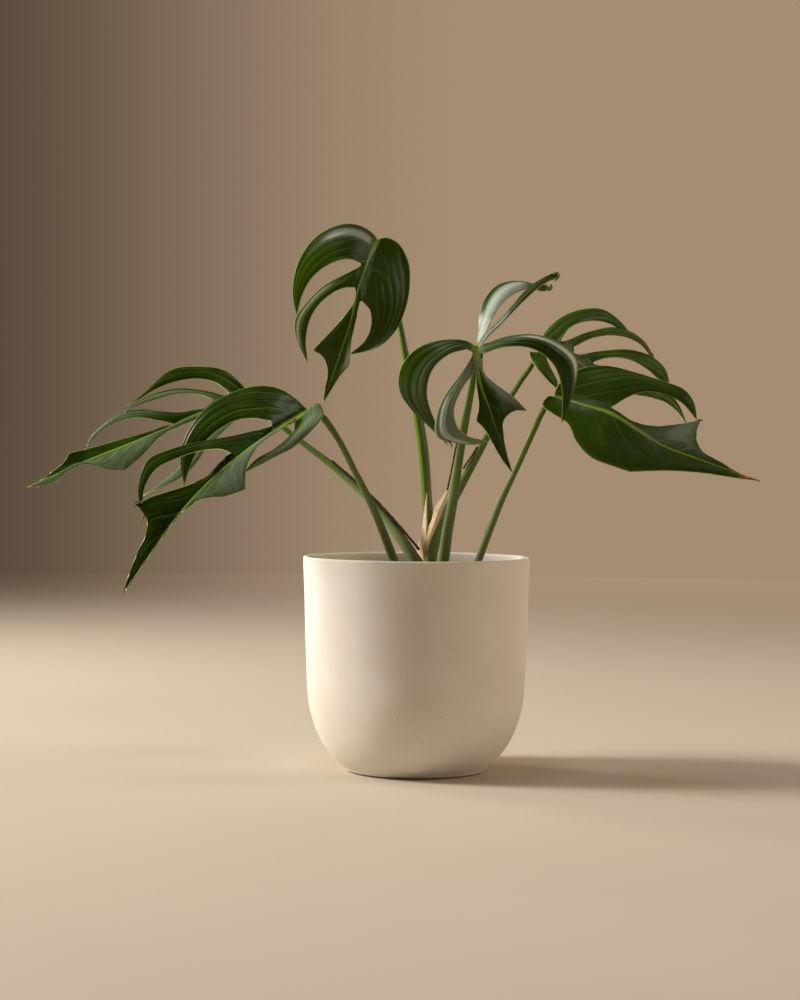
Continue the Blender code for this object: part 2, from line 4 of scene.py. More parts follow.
import bmesh
import bpy
from mathutils import Matrix, Vector, noise
from mathutils.geometry import interpolate_bezier


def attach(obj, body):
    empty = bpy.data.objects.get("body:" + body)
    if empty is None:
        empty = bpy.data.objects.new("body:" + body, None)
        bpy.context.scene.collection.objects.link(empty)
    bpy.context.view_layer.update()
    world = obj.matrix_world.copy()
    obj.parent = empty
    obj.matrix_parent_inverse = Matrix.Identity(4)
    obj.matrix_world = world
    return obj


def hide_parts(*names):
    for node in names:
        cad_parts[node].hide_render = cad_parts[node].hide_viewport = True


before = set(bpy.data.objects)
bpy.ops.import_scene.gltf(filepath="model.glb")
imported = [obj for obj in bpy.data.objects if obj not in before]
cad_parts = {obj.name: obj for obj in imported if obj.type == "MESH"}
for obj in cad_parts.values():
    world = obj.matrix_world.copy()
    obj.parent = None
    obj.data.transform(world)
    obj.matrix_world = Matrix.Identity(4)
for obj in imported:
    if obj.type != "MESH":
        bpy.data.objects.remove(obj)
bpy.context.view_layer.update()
print("frame loaded")

view = {
    "distance": 1.945,
    "height": 0.273,
    "centre": (417.5, 460.0),
    "roll": math.radians(0.45),
    "pixelsPerMetre": 1135.0,
    "frameHeight": 1000,
    "shift": (-0.0175, -0.04),
}

# How many straight steps stand for each stretch of a smooth line.
lineSteps = 16
# A cord's first upward direction, and how closely its unevenness and its skin's pattern change along it.
cordLook = {"up": (0.3, -1, 0.2), "uneven": 40, "pattern": 60}
# Corners closer than sameSpot are one corner, and values closer than sameValue are one value.
sameSpot = 0.00002
sameValue = 0.000001
# How far a lobe or tail arches over its width, where it doesn't say.
usualArch = 0.12


def inSpace(point):
    right, down = point[0] - view["centre"][0], point[1] - view["centre"][1]
    turnCos, turnSin = math.cos(view["roll"]), math.sin(view["roll"])
    across = (right * turnCos + down * turnSin) / view["pixelsPerMetre"]
    drop = (down * turnCos - right * turnSin) / view["pixelsPerMetre"]
    depth = point[2] / 1000
    widening = (view["distance"] + depth) / view["distance"]
    return Vector((across * widening, depth, view["height"] - drop * widening))


def smoothLine(points, steps=lineSteps):
    moves = [b - a for a, b in zip(points, points[1:])]
    inner = [a.normalized() * b.length + b.normalized() * a.length for a, b in zip(moves, moves[1:])]
    ways = [way.normalized() for way in [moves[0], *inner, moves[-1]]]
    line = [points[0]]
    for a, b, wayA, wayB in zip(points, points[1:], ways, ways[1:]):
        reach = (b - a).length / 3
        line += interpolate_bezier(a, a + wayA * reach, b - wayB * reach, b, steps + 1)[1:]
    return line


def lineThrough(points, steps=lineSteps):
    return smoothLine([inSpace(point) for point in points], steps)


def along(line, share):
    lengths = [(b - a).length for a, b in zip(line, line[1:])]
    left = share * sum(lengths)
    for a, b, length in zip(line, line[1:], lengths):
        if left <= length:
            return a.lerp(b, left / length) if length else a.copy()
        left -= length
    return line[-1].copy()


def evenly(line, steps):
    return [along(line, i / steps) for i in range(steps + 1)]


def ease(low, high, value):
    share = min(1.0, max(0.0, (value - low) / (high - low)))
    return share * share * (3 - 2 * share)


# Some unevenness from a few layers of noise, each with its own scale and share.
def unevenness(place, layers):
    return sum(share * noise.noise(place * scale) for scale, share in layers.items())


# Extrudes a chain of vertices once and returns the new chain in the same order.
def nextChain(mesh, chain, closed=False):
    pairs = list(zip(chain, chain[1:])) + ([(chain[-1], chain[0])] if closed else [])
    edges = [mesh.edges.get(pair) for pair in pairs]
    made = bmesh.ops.extrude_edge_only(mesh, edges=edges)["geom"]
    fresh = {part for part in made if isinstance(part, bmesh.types.BMVert)}
    moved = []
    for corner in chain:
        others = [edge.other_vert(corner) for edge in corner.link_edges]
        moved.append(next(other for other in others if other in fresh))
    return moved, [part for part in made if isinstance(part, bmesh.types.BMFace)]


# The next row of a grid: a chain of new corners at first, and then one extruded from the row before.
def nextRow(mesh, chain, places):
    if chain:
        return nextChain(mesh, chain)
    chain = [mesh.verts.new(place) for place in places]
    for pair in zip(chain, chain[1:]):
        mesh.edges.new(pair)
    return chain, []


# Where an edge or a face stands in the order of its two lowest corners.
def rankOf(part, corners):
    low, high = sorted(corner.index for corner in part.verts)[:2]
    return low * corners + high


# Rebuilds a mesh in the order of its corners. Extruding gives it an order that changes from run to run.
def settle(mesh):
    mesh.verts.index_update()
    corners = len(mesh.verts)
    for kind in (mesh.edges, mesh.faces):
        kind.sort(key=lambda part: rankOf(part, corners))
    data = bpy.data.meshes.new("settled")
    mesh.to_mesh(data)
    mesh.clear()
    mesh.from_mesh(data)
    bpy.data.meshes.remove(data)


# Sweeps a ring along a line of centres. Slight lengthwise ribs and a little unevenness shape it.
def cordMesh(centres, radii, sides, phase, ribs=0, ribHeight=0.0, wobble=0.0):
    mesh = bmesh.new()
    facts = mesh.verts.layers.float_vector.new("stalkPlace")
    ring = bmesh.ops.create_circle(mesh, segments=sides, radius=radii[0])["verts"]
    up = Vector(cordLook["up"])
    length = 0.0
    for i, (centre, radius) in enumerate(zip(centres, radii)):
        way = (centres[min(i + 1, len(centres) - 1)] - centres[max(i - 1, 0)]).normalized()
        side = way.cross(up).normalized()
        up = side.cross(way).normalized()
        if i:
            ring, _ = nextChain(mesh, ring, closed=True)
            length += (centre - centres[i - 1]).length
        for k, corner in enumerate(ring):
            turn = 2 * math.pi * k / sides
            swell = 1 + ribHeight * math.sin(ribs * turn + phase)
            bumpy = Vector((math.cos(turn), math.sin(turn), length * cordLook["uneven"] + phase))
            swell += wobble * noise.noise(bumpy)
            corner.co = centre + (side * math.cos(turn) + up * math.sin(turn)) * radius * swell
            corner[facts] = (math.cos(turn), math.sin(turn), length * cordLook["pattern"] + phase)
    bmesh.ops.holes_fill(mesh, edges=[e for e in mesh.edges if e.is_boundary])
    bmesh.ops.recalc_face_normals(mesh, faces=mesh.faces)
    return mesh


# The width at a share of a smooth line, from the widths at the points that it was drawn through.
def widthAt(line, widths, share):
    lengths = [(b - a).length for a, b in zip(line, line[1:])]
    left, i = share * sum(lengths), 0
    while i < len(lengths) - 1 and left > lengths[i]:
        left -= lengths[i]
        i += 1
    span, step = divmod(i, lineSteps)
    part = (step + min(1, left / lengths[i])) / lineSteps
    return widths[span] + (widths[span + 1] - widths[span]) * part


# A cord along points whose fourth number is its width there in millimetres.
def taperedCord(line, points, rows, sides, *shape):
    widths = [point[3] / 1000 for point in points]
    radii = [widthAt(line, widths, i / rows) / 2 for i in range(rows + 1)]
    return cordMesh(evenly(line, rows), radii, sides, *shape)


# Makes a piece of a mesh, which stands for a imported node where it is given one.
def makePiece(name, mesh, materials, node=None):
    data = bpy.data.meshes.new(name)
    mesh.to_mesh(data)
    mesh.free()
    data.shade_smooth()
    for material in materials:
        data.materials.append(material)
    piece = bpy.data.objects.new(name, data)
    bpy.context.scene.collection.objects.link(piece)
    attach(piece, "root")
    if node:
        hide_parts(node)
    return piece


def giveThickness(piece, thickness, insideSlot=0, rimSlot=0):
    shell = piece.modifiers.new("thickness", "SOLIDIFY")
    shell.thickness = thickness
    shell.offset = 0
    shell.material_offset = insideSlot
    shell.material_offset_rim = rimSlot


# Material building: each helper adds its nodes and returns their output.
def newMaterial(name, **sockets):
    material = bpy.data.materials.new(name)
    material.use_nodes = True
    tree = material.node_tree
    shader = tree.nodes["Principled BSDF"]
    for socket, value in sockets.items():
        shader.inputs[socket.replace("_", " ")].default_value = value
    return material, tree, shader


# An sRGB code as the linear colour that a socket takes.
def colourOf(code):
    parts = [int(code[i:i + 2], 16) / 255 for i in (1, 3, 5)]
    return (*[c / 12.92 if c <= 0.04045 else ((c + 0.055) / 1.055) ** 2.4 for c in parts], 1)


def feed(tree, socket, value):
    if isinstance(value, bpy.types.NodeSocket):
        tree.links.new(value, socket)
    elif isinstance(value, str):
        socket.default_value = colourOf(value)
    else:
        socket.default_value = value


def sums(tree, operation, first, second=0.0):
    node = tree.nodes.new("ShaderNodeMath")
    node.operation = operation
    feed(tree, node.inputs[0], first)
    feed(tree, node.inputs[1], second)
    return node.outputs[0]


def times(tree, first, second):
    return sums(tree, "MULTIPLY", first, second)


def plus(tree, first, second):
    return sums(tree, "ADD", first, second)


def blendColours(tree, factor, first, second):
    node = tree.nodes.new("ShaderNodeMix")
    node.data_type = "RGBA"
    for socket, value in ((0, factor), (6, first), (7, second)):
        feed(tree, node.inputs[socket], value)
    return node.outputs[2]


def blendNumbers(tree, factor, first, second):
    node = tree.nodes.new("ShaderNodeMix")
    for socket, value in ((0, factor), (2, first), (3, second)):
        feed(tree, node.inputs[socket], value)
    return node.outputs[0]


def spread(tree, value, fromLow, fromHigh, toLow=0.0, toHigh=1.0):
    node = tree.nodes.new("ShaderNodeMapRange")
    node.interpolation_type = "SMOOTHSTEP"
    for socket, number in zip(node.inputs, (value, fromLow, fromHigh, toLow, toHigh)):
        feed(tree, socket, number)
    return node.outputs[0]


def grain(tree, vector, scale, detail=3.0, roughness=0.5, stretch=None):
    if stretch:
        mapping = tree.nodes.new("ShaderNodeMapping")
        tree.links.new(vector, mapping.inputs["Vector"])
        mapping.inputs["Scale"].default_value = stretch
        vector = mapping.outputs[0]
    node = tree.nodes.new("ShaderNodeTexNoise")
    tree.links.new(vector, node.inputs["Vector"])
    node.inputs["Scale"].default_value = scale
    node.inputs["Detail"].default_value = detail
    node.inputs["Roughness"].default_value = roughness
    return node.outputs["Fac"]


# Where a pattern lies: on Object coordinates, on the blades' UV map, or on an attribute of its piece.
def placeOf(tree, source):
    if source == "object":
        return tree.nodes.new("ShaderNodeTexCoord").outputs["Object"]
    if source == "veins":
        node = tree.nodes.new("ShaderNodeUVMap")
        node.uv_map = source
        return node.outputs[0]
    node = tree.nodes.new("ShaderNodeAttribute")
    node.attribute_name = source
    return node.outputs["Vector"]


def parts(tree, vector):
    node = tree.nodes.new("ShaderNodeSeparateXYZ")
    tree.links.new(vector, node.inputs[0])
    return node.outputs


def distanceOut(tree, vector):
    node = tree.nodes.new("ShaderNodeVectorMath")
    node.operation = "LENGTH"
    tree.links.new(vector, node.inputs[0])
    return node.outputs["Value"]


def addBump(tree, shader, height, distance, strength):
    node = tree.nodes.new("ShaderNodeBump")
    node.inputs["Strength"].default_value = strength
    node.inputs["Distance"].default_value = distance
    tree.links.new(height, node.inputs["Height"])
    tree.links.new(node.outputs[0], shader.inputs["Normal"])


# A finish names its grains, each by where it lies, scale, detail, roughness and stretch.
def grainsOf(tree, finish):
    grains = {}
    for name, (source, *how) in finish["grains"].items():
        grains[name] = grain(tree, placeOf(tree, source), *how)
    return grains


# The first coat goes from dark to light along a grain. More coats lie where theirs is high, up to a share.
def firstCoats(tree, grains, finish):
    key, low, high, dark, light = finish["base"]
    body = blendColours(tree, spread(tree, grains[key], low, high), dark, light)
    for key, low, high, most, colour in finish["coats"]:
        body = blendColours(tree, spread(tree, grains[key], low, high, 0.0, most), body, colour)
    return body


def moreCoats(tree, body, coats):
    for factor, colour in coats:
        body = blendColours(tree, factor, body, colour)
    return body


# Roughness between two values along a grain, most of whose values lie in the middle.
def roughnessOf(tree, grains, key, smoothest, roughest):
    return spread(tree, grains[key], 0.2, 0.8, smoothest, roughest)


def finishSurface(tree, shader, grains, body, finish):
    feed(tree, shader.inputs["Base Color"], body)
    feed(tree, shader.inputs["Roughness"], roughnessOf(tree, grains, *finish["roughness"]))
    shares, distance, strength = finish["relief"]
    height = 0.0
    for key, share in shares.items():
        height = plus(tree, height, times(tree, grains[key], share))
    addBump(tree, shader, height, distance, strength)


def finishMaterial(name, finish):
    material, tree, shader = newMaterial(name)
    grains = grainsOf(tree, finish)
    finishSurface(tree, shader, grains, firstCoats(tree, grains, finish), finish)
    return material


camera = bpy.data.cameras.new("camera")
camera.sensor_width = 36
camera.lens = view["pixelsPerMetre"] * view["distance"] / view["frameHeight"] * camera.sensor_width
camera.shift_x, camera.shift_y = view["shift"]
cameraObject = bpy.data.objects.new("camera", camera)
cameraObject.location = (0, -view["distance"], view["height"])
cameraObject.rotation_euler = (math.radians(90), -view["roll"], 0)
bpy.context.scene.collection.objects.link(cameraObject)
bpy.context.scene.camera = cameraObject

studio = {
    "backdrop": "#ad9379",
    "frontStrength": 0.22,
    "backStrength": 0.90,
    "leftShare": 0.24,
    "leftBetween": (-0.22, 0.03),
    "frontToBack": (-0.9, 0.9),
    "floor": "#c6baa8",
    "floorSpot": "#cec3b2",
    "floorSpots": 3.0,
    "floorRoughness": 0.85,
    "floorRadius": 3.3,
    "floorSides": 96,
    "fadeBetween": (0.7, 3.3),
    "fadeBehind": (-0.6, 0.6),
    # Each light's place, size, power, colour and what it does: "both", or only "diffuse" or "gloss".
    "lights": {
        "key": ((-3.8, 0.12, 2.4), 1.2, 230, "#fffdf8", "diffuse"),
        "edge": ((-1.6, 1.3, 1.0), 0.6, 14, "#fff4e4", "both"),
        "fill": ((1.9, 0.0, 0.75), 0.7, 9, "#fff0de", "diffuse"),
        "top": ((-0.25, -0.15, 1.95), 0.6, 6, "#fffaf2", "both"),
        "right": ((1.9, -0.2, 0.85), 0.6, 5, "#fff6ea", "gloss"),
        "front": ((1.5, -0.8, 1.6), 0.6, 6, "#fff8ee", "gloss"),
    },
    "target": (0, 0, 0.24),
}


# A plain warm surround, darker on the camera's side and to the left of what the camera sees.
def buildSurround():
    world = bpy.data.worlds.new("studio")
    world.use_nodes = True
    tree = world.node_tree
    background = tree.nodes["Background"]
    background.inputs["Color"].default_value = colourOf(studio["backdrop"])
    towardsRight, towardsBack = parts(tree, tree.nodes.new("ShaderNodeTexCoord").outputs["Generated"])[:2]
    strength = spread(tree, towardsBack, *studio["frontToBack"], studio["frontStrength"],
                      studio["backStrength"])
    leftFade = spread(tree, towardsRight, *studio["leftBetween"], studio["leftShare"], 1.0)
    feed(tree, background.inputs["Strength"], times(tree, strength, leftFade))
    bpy.context.scene.world = world
    bpy.context.scene.view_settings.view_transform = "Standard"


def buildLights():
    for name, (place, size, power, colour, does) in studio["lights"].items():
        light = bpy.data.lights.new(name, "AREA")
        light.shape = "DISK"
        light.size = size
        light.energy = power
        light.color = colourOf(colour)[:3]
        lamp = bpy.data.objects.new(name, light)
        lamp.visible_glossy = does != "diffuse"
        lamp.visible_diffuse = does != "gloss"
        lamp.location = place
        aim = Vector(studio["target"]) - lamp.location
        lamp.rotation_euler = aim.to_track_quat("-Z", "Y").to_euler()
        bpy.context.scene.collection.objects.link(lamp)


# The far floor takes on the backdrop's own glow, so that the two meet without a line.
def floorMaterial():
    material, tree, shader = newMaterial("paleFloor", Roughness=studio["floorRoughness"])
    spots = grain(tree, placeOf(tree, "object"), studio["floorSpots"])
    mottle = blendColours(tree, spots, studio["floor"], studio["floorSpot"])
    shader.inputs["Emission Color"].default_value = colourOf(studio["backdrop"])
    x, y = parts(tree, placeOf(tree, "object"))[:2]
    far = spread(tree, distanceOut(tree, placeOf(tree, "object")), *studio["fadeBetween"])
    far = times(tree, far, spread(tree, y, *studio["fadeBehind"]))
    feed(tree, shader.inputs["Base Color"], blendColours(tree, far, mottle, "#000000"))
    y = plus(tree, y, view["distance"])
    reach = sums(tree, "SQRT", plus(tree, times(tree, x, x), times(tree, y, y)))
    leftFade = spread(tree, sums(tree, "DIVIDE", x, reach), *studio["leftBetween"], studio["leftShare"], 1.0)
    glow = times(tree, far, studio["backStrength"])
    feed(tree, shader.inputs["Emission Strength"], times(tree, glow, leftFade))
    return material


def buildFloor():
    mesh = bmesh.new()
    bmesh.ops.create_circle(mesh, cap_ends=True, segments=studio["floorSides"], radius=studio["floorRadius"])
    data = bpy.data.meshes.new("floor")
    mesh.to_mesh(data)
    mesh.free()
    data.materials.append(floorMaterial())
    floor = bpy.data.objects.new("floor", data)
    bpy.context.scene.collection.objects.link(floor)


buildSurround()
buildLights()
buildFloor()
print("camera, lights and floor")

pot = {
    "height": 0.188,
    "rimRadius": 0.100,
    "waistRadius": 0.096,
    "waistHeight": 0.080,
    "curveWidth": 0.056,
    "curveDepth": 0.084,
    "footRadius": 0.053,
    "footRounding": 0.0034,
    "footSteps": 8,
    "footRings": (1, 0.8, 0.5, 0.25),
    "wall": 0.0045,
    "floor": 0.008,
    "rimRounding": 0.002,
    "rimSteps": 16,
    "turns": 160,
    "wallRows": 56,
    "rowCrowding": 1.6,
    "unevenness": 0.00025,
    "dents": {22: 1.0, 70: 0.4},
    "dentsFrom": (0.006, 0.02),
    "glaze": {
        "grains": {"cloud": ("object", 9.0, 4.0, 0.6), "bands": ("object", 30.0, 3.0, 0.6, (0.25, 0.25, 2.4)),
                   "fine": ("object", 900.0, 2.0, 0.7), "specks": ("object", 420.0, 1.0, 0.4)},
        "base": ("cloud", 0.3, 0.7, "#ebe2d4", "#f5efe5"),
        "coats": [("bands", 0.4, 0.75, 0.35, "#f0e6d6"), ("specks", 0.70, 0.78, 0.3, "#c0ab8a")],
        "roughness": ("fine", 0.62, 0.82),
        "relief": ({"fine": 0.5, "bands": 1.2}, 0.00018, 0.5),
    },
}


# The wall's radius at a height, the given depth inside its outer face.
def potSide(height, inset=0.0):
    if height >= pot["waistHeight"]:
        share = (height - pot["waistHeight"]) / (pot["height"] - pot["waistHeight"])
        return pot["waistRadius"] + (pot["rimRadius"] - pot["waistRadius"]) * share - inset
    fall = (pot["waistHeight"] - height) / (pot["curveDepth"] - 2 * inset)
    return pot["waistRadius"] - pot["curveWidth"] + (pot["curveWidth"] - inset) * math.sqrt(1 - fall * fall)


# Heights of the wall's rows, closer together in the curved lower part.
def potHeights(bottom):
    top = pot["height"] - pot["rimRounding"]
    rows = pot["wallRows"]
    return [bottom + (top - bottom) * (i / rows) ** pot["rowCrowding"] for i in range(rows + 1)]


# Spins a profile of (radius, height) points round the Z axis into a closed body.
def turnedBody(profile, steps, place=(0, 0)):
    mesh = bmesh.new()
    corners = [mesh.verts.new((radius, 0, height)) for radius, height in profile]
    chain = [mesh.edges.new(pair) for pair in zip(corners, corners[1:])]
    bmesh.ops.spin(mesh, geom=corners + chain, cent=(0, 0, 0), axis=(0, 0, 1), angle=2 * math.pi,
                   steps=steps, use_merge=True)
    bmesh.ops.remove_doubles(mesh, verts=mesh.verts, dist=sameSpot / 2)
    bmesh.ops.recalc_face_normals(mesh, faces=mesh.faces)
    bmesh.ops.translate(mesh, verts=mesh.verts, vec=(*place, 0))
    return mesh


def buildPot():
    wall = pot["wall"]
    middle = pot["rimRadius"] - wall / 2
    inner = [(potSide(h, wall), h) for h in potHeights(pot["floor"])]
    rim = []
    for i in range(1, pot["rimSteps"]):
        turn = math.pi * (1 - i / pot["rimSteps"])
        rim.append((middle + wall / 2 * math.cos(turn),
                    pot["height"] - pot["rimRounding"] * (1 - math.sin(turn))))
    rounding = pot["footRounding"]
    outer = [(potSide(h), h) for h in reversed(potHeights(rounding))]
    foot = []
    for i in range(1, pot["footSteps"]):
        turn = math.pi / 2 * i / pot["footSteps"]
        foot.append((pot["footRadius"] + (potSide(rounding) - pot["footRadius"]) * math.cos(turn),
                     rounding * (1 - math.sin(turn))))
    underside = [(pot["footRadius"] * share, 0) for share in pot["footRings"]]
    profile = [(0, pot["floor"]), *inner, *rim, *outer, *foot, *underside, (0, 0)]
    mesh = turnedBody(profile, pot["turns"])
    for corner in mesh.verts:
        if corner.co.z > pot["dentsFrom"][0]:
            flat = Vector((corner.co.x, corner.co.y, 0)).normalized()
            push = unevenness(corner.co, pot["dents"])
            corner.co += flat * push * pot["unevenness"] * ease(*pot["dentsFrom"], corner.co.z)
    makePiece("ceramic_pot", mesh, [finishMaterial("creamCeramic", pot["glaze"])], "pot")


buildPot()
print("pot")

soil = {
    "belowRim": 0.030,
    "heap": 0.003,
    "gap": 0.0003,
    "lump": 0.0022,
    "lumps": {90: 1.0, 210: 0.6, 520: 0.4},
    "lumpSlice": 0.3,
    "levelBeside": (1.0, 0.97),
    "turns": 150,
    "rings": 52,
    "sideFrom": 0.011,
    "sideBelowTop": 0.004,
    "footInset": 0.001,
    "clearOfWall": 0.006,
    "seed": 7,
    "barkChips": 240,
    # Each chip is a warped block with a length, a width and a height, tilted and partly sunk.
    "chipSizes": ((0.0035, 0.0095), (0.0025, 0.005), (0.0009, 0.002)),
    "chipWarp": 0.22,
    "chipWarpScale": 1.7,
    "chipSeeds": 50,
    "chipTilt": 0.28,
    "chipLift": (0.1, 0.6),
    "perlite": 150,
    "perliteSizes": (0.0007, 0.0019),
    "perliteLift": 0.3,
    "perliteWarp": 0.35,
    "perliteWarpScale": 900,
    "mixFinish": {
        "grains": {"crumbs": ("object", 260.0, 5.0, 0.75), "patches": ("object", 45.0, 3.0, 0.6),
                   "flecks": ("object", 700.0, 2.0, 0.6)},
        "base": ("crumbs", 0.35, 0.7, "#15100b", "#3d2c1e"),
        "coats": [("patches", 0.5, 0.7, 0.5, "#4c3827"), ("flecks", 0.62, 0.7, 0.6, "#7b6247")],
        "roughness": ("crumbs", 0.8, 1.0),
        "relief": ({"crumbs": 1.0}, 0.0012, 0.9),
    },
    "barkFinish": {
        "grains": {"fibres": ("object", 150.0, 4.0, 0.7, (1.0, 4.0, 4.0)), "tone": ("object", 60.0, 2.0)},
        "base": ("fibres", 0.3, 0.7, "#2d1c11", "#6d4a2d"),
        "coats": [("tone", 0.45, 0.65, 0.7, "#8a6541")],
        "roughness": ("fibres", 0.7, 0.95),
        "relief": ({"fibres": 1.0}, 0.0006, 0.8),
    },
    "perliteFinish": {
        "grains": {"pores": ("object", 900.0, 3.0, 0.7)},
        "base": ("pores", 0.3, 0.7, "#a89d8c", "#ded7ca"),
        "coats": [],
        "roughness": ("pores", 0.8, 0.98),
        "relief": ({"pores": 1.0}, 0.0004, 0.8),
    },
}


def soilTop(x, y):
    share = math.hypot(x, y) / potSide(pot["height"] - soil["belowRim"], pot["wall"])
    height = pot["height"] - soil["belowRim"] + soil["heap"] * (1 - share * share)
    lumps = unevenness(Vector((x, y, soil["lumpSlice"])), soil["lumps"])
    return height + soil["lump"] * lumps * ease(*soil["levelBeside"], share)


# A seeded place on the soil that keeps clear of the wall.
def scattered(rng):
    brim = potSide(pot["height"] - soil["belowRim"], pot["wall"]) - soil["clearOfWall"]
    reach = brim * math.sqrt(rng.random())
    turn = rng.random() * 2 * math.pi
    return reach * math.cos(turn), reach * math.sin(turn)


def buildMix():
    top = pot["height"] - soil["belowRim"]
    inset = pot["wall"] + 1.5 * soil["gap"]
    brim = potSide(top, inset)
    crust = [(brim * i / soil["rings"], top) for i in range(soil["rings"], 0, -1)]
    heights = [h for h in reversed(potHeights(soil["sideFrom"])) if h < top - soil["sideBelowTop"]]
    side = [(potSide(h, inset) - soil["gap"], h) for h in heights]
    low = pot["floor"] + soil["gap"]
    profile = [(0, top), *reversed(crust), *side, (potSide(low, inset) - soil["footInset"], low), (0, low)]
    mesh = turnedBody(profile, soil["turns"])
    for corner in mesh.verts:
        if abs(corner.co.z - top) < sameValue:
            corner.co.z = soilTop(corner.co.x, corner.co.y)
    makePiece("potting_mix", mesh, [finishMaterial("pottingMix", soil["mixFinish"])], "soil")


def buildBark(rng):
    mesh = bmesh.new()
    for _ in range(soil["barkChips"]):
        x, y = scattered(rng)
        known = len(mesh.verts)
        made = bmesh.ops.create_cube(mesh, size=1.0)["verts"]
        size = [rng.uniform(*span) for span in soil["chipSizes"]]
        edges = list(dict.fromkeys(edge for v in made for edge in v.link_edges))
        bmesh.ops.subdivide_edges(mesh, edges=edges, cuts=1, use_grid_fill=True)
        chip = list(mesh.verts)[known:]
        seed = rng.uniform(0, soil["chipSeeds"])
        for v in chip:
            warped = v.co * soil["chipWarpScale"] + Vector((seed, seed, seed))
            v.co += soil["chipWarp"] * noise.noise_vector(warped)
        turn = Matrix.Rotation(rng.uniform(0, math.pi), 4, "Z")
        for axis in "XY":
            turn = turn @ Matrix.Rotation(rng.gauss(0, soil["chipTilt"]), 4, axis)
        place = Matrix.Translation((x, y, soilTop(x, y) + size[2] * rng.uniform(*soil["chipLift"])))
        bmesh.ops.transform(mesh, verts=chip, matrix=place @ turn @ Matrix.Diagonal((*size, 1)))
    bmesh.ops.recalc_face_normals(mesh, faces=mesh.faces)
    chips = makePiece("bark_chips", mesh, [finishMaterial("barkChips", soil["barkFinish"])])
    chips.data.shade_flat()


def buildPerlite(rng):
    mesh = bmesh.new()
    for _ in range(soil["perlite"]):
        x, y = scattered(rng)
        size = rng.uniform(*soil["perliteSizes"])
        place = Matrix.Translation((x, y, soilTop(x, y) + size * soil["perliteLift"]))
        made = bmesh.ops.create_icosphere(mesh, subdivisions=2, radius=size, matrix=place)["verts"]
        for v in made:
            v.co += soil["perliteWarp"] * size * noise.noise_vector(v.co * soil["perliteWarpScale"])
    makePiece("perlite", mesh, [finishMaterial("perliteGrains", soil["perliteFinish"])])


def buildSoil():
    buildMix()
    rng = random.Random(soil["seed"])
    noise.seed_set(soil["seed"])  # else noise vectors change from run to run
    buildBark(rng)
    buildPerlite(rng)


buildSoil()
print("soil, bark and perlite")

crown = {
    "place": (0.0125, 0.0020),
    "outline": [(0.0105, 0.128), (0.0140, 0.142), (0.0155, 0.158), (0.0150, 0.168), (0.0120, 0.175),
                (0.0060, 0.179)],
    "top": 0.180,
    "lineSteps": 14,
    "turns": 72,
    "rows": 70,
    "scar": 0.0006,
    "scarRings": 1500,
    "scarWander": 3,
    "scarSink": 0.6,
    "scarNoise": (60, 160),
    "roots": 7,
    "rootSizes": (0.0018, 0.0028),
    "rootReach": 0.0135,
    "rootHeights": (0.161, 0.170),
    "rootShape": (1.6, 1.0, 1.2, 1),
    "rootStray": 0.6,
    "seed": 3,
    "bark": {
        "grains": {"rings": ("object", 120.0, 4.0, 0.6, (0.5, 0.5, 3.0)), "cork": ("object", 90.0, 4.0, 0.7)},
        "base": ("rings", 0.3, 0.7, "#4d5a2a", "#8b8f52"),
        "coats": [("cork", 0.45, 0.62, 1.0, "#8d7448")],
        "roughness": ("rings", 0.55, 0.85),
        "relief": ({"rings": 1.0}, 0.0006, 0.8),
    },
}


def buildCrown():
    outline = [Vector((radius, 0, height)) for radius, height in crown["outline"]]
    side = smoothLine([*outline, Vector((0.0, 0, crown["top"]))], crown["lineSteps"])
    profile = [(0, crown["top"])] + [(p.x, p.z) for p in reversed(evenly(side, crown["rows"])[:-1])]
    profile.append((0, crown["outline"][0][1]))
    mesh = turnedBody(profile, crown["turns"], crown["place"])
    centre = Vector((*crown["place"], 0))
    broad, fine = crown["scarNoise"]
    for corner in mesh.verts:
        flat = (corner.co - centre) * Vector((1, 1, 0))
        wander = crown["scarWander"] * noise.noise(corner.co * broad)
        wave = math.sin(corner.co.z * crown["scarRings"] + wander)
        ridge = wave - crown["scarSink"] + noise.noise(corner.co * fine)
        corner.co += flat.normalized() * crown["scar"] * ridge
    rng = random.Random(crown["seed"])
    for i in range(crown["roots"]):
        turn = 2 * math.pi * (i + rng.random() * crown["rootStray"]) / crown["roots"]
        size = rng.uniform(*crown["rootSizes"])
        reach = Vector((math.cos(turn), math.sin(turn), 0)) * crown["rootReach"]
        place = Matrix.Translation(centre + reach + Vector((0, 0, rng.uniform(*crown["rootHeights"]))))
        lean = Matrix.Rotation(turn, 4, "Z") @ Matrix.Diagonal(crown["rootShape"])
        bmesh.ops.create_icosphere(mesh, subdivisions=3, radius=size, matrix=place @ lean)
    makePiece("crown_stem", mesh, [finishMaterial("crownBark", crown["bark"])], "crown")


buildCrown()
print("crown")


# A lobe leaves the midrib between two shares and runs out to its own tip, with a near and a far edge. A
# tail is the end of a half: its inner edge runs to a corner, level with a share of the midrib, and its outer
# edge on to the leaf's tip. Both say how many main veins they have, and pale holds the patches that take the
# grey green of the underside on the front: where a lobe turns its underside to the front, and elsewhere as
# painted sheen, for light that the glossy face would reflect there: (from, to) across, (from, to) on the way
# out, and how pale, up to 2.
def lobe(start, end, tip, veins, near, far, pale=(), arch=usualArch):
    return {"start": start, "end": end, "tip": tip, "veins": veins, "near": near, "far": far, "pale": pale,
            "arch": arch}


def tail(start, corner, veins, inner, outer, pale=(), arch=usualArch):
    return {"start": start, "corner": corner, "veins": veins, "inner": inner, "outer": outer, "pale": pale,
            "arch": arch}


# The patch that covers a lobe or tail all over.
whole = (-1, 2, -1, 2, 1.0)
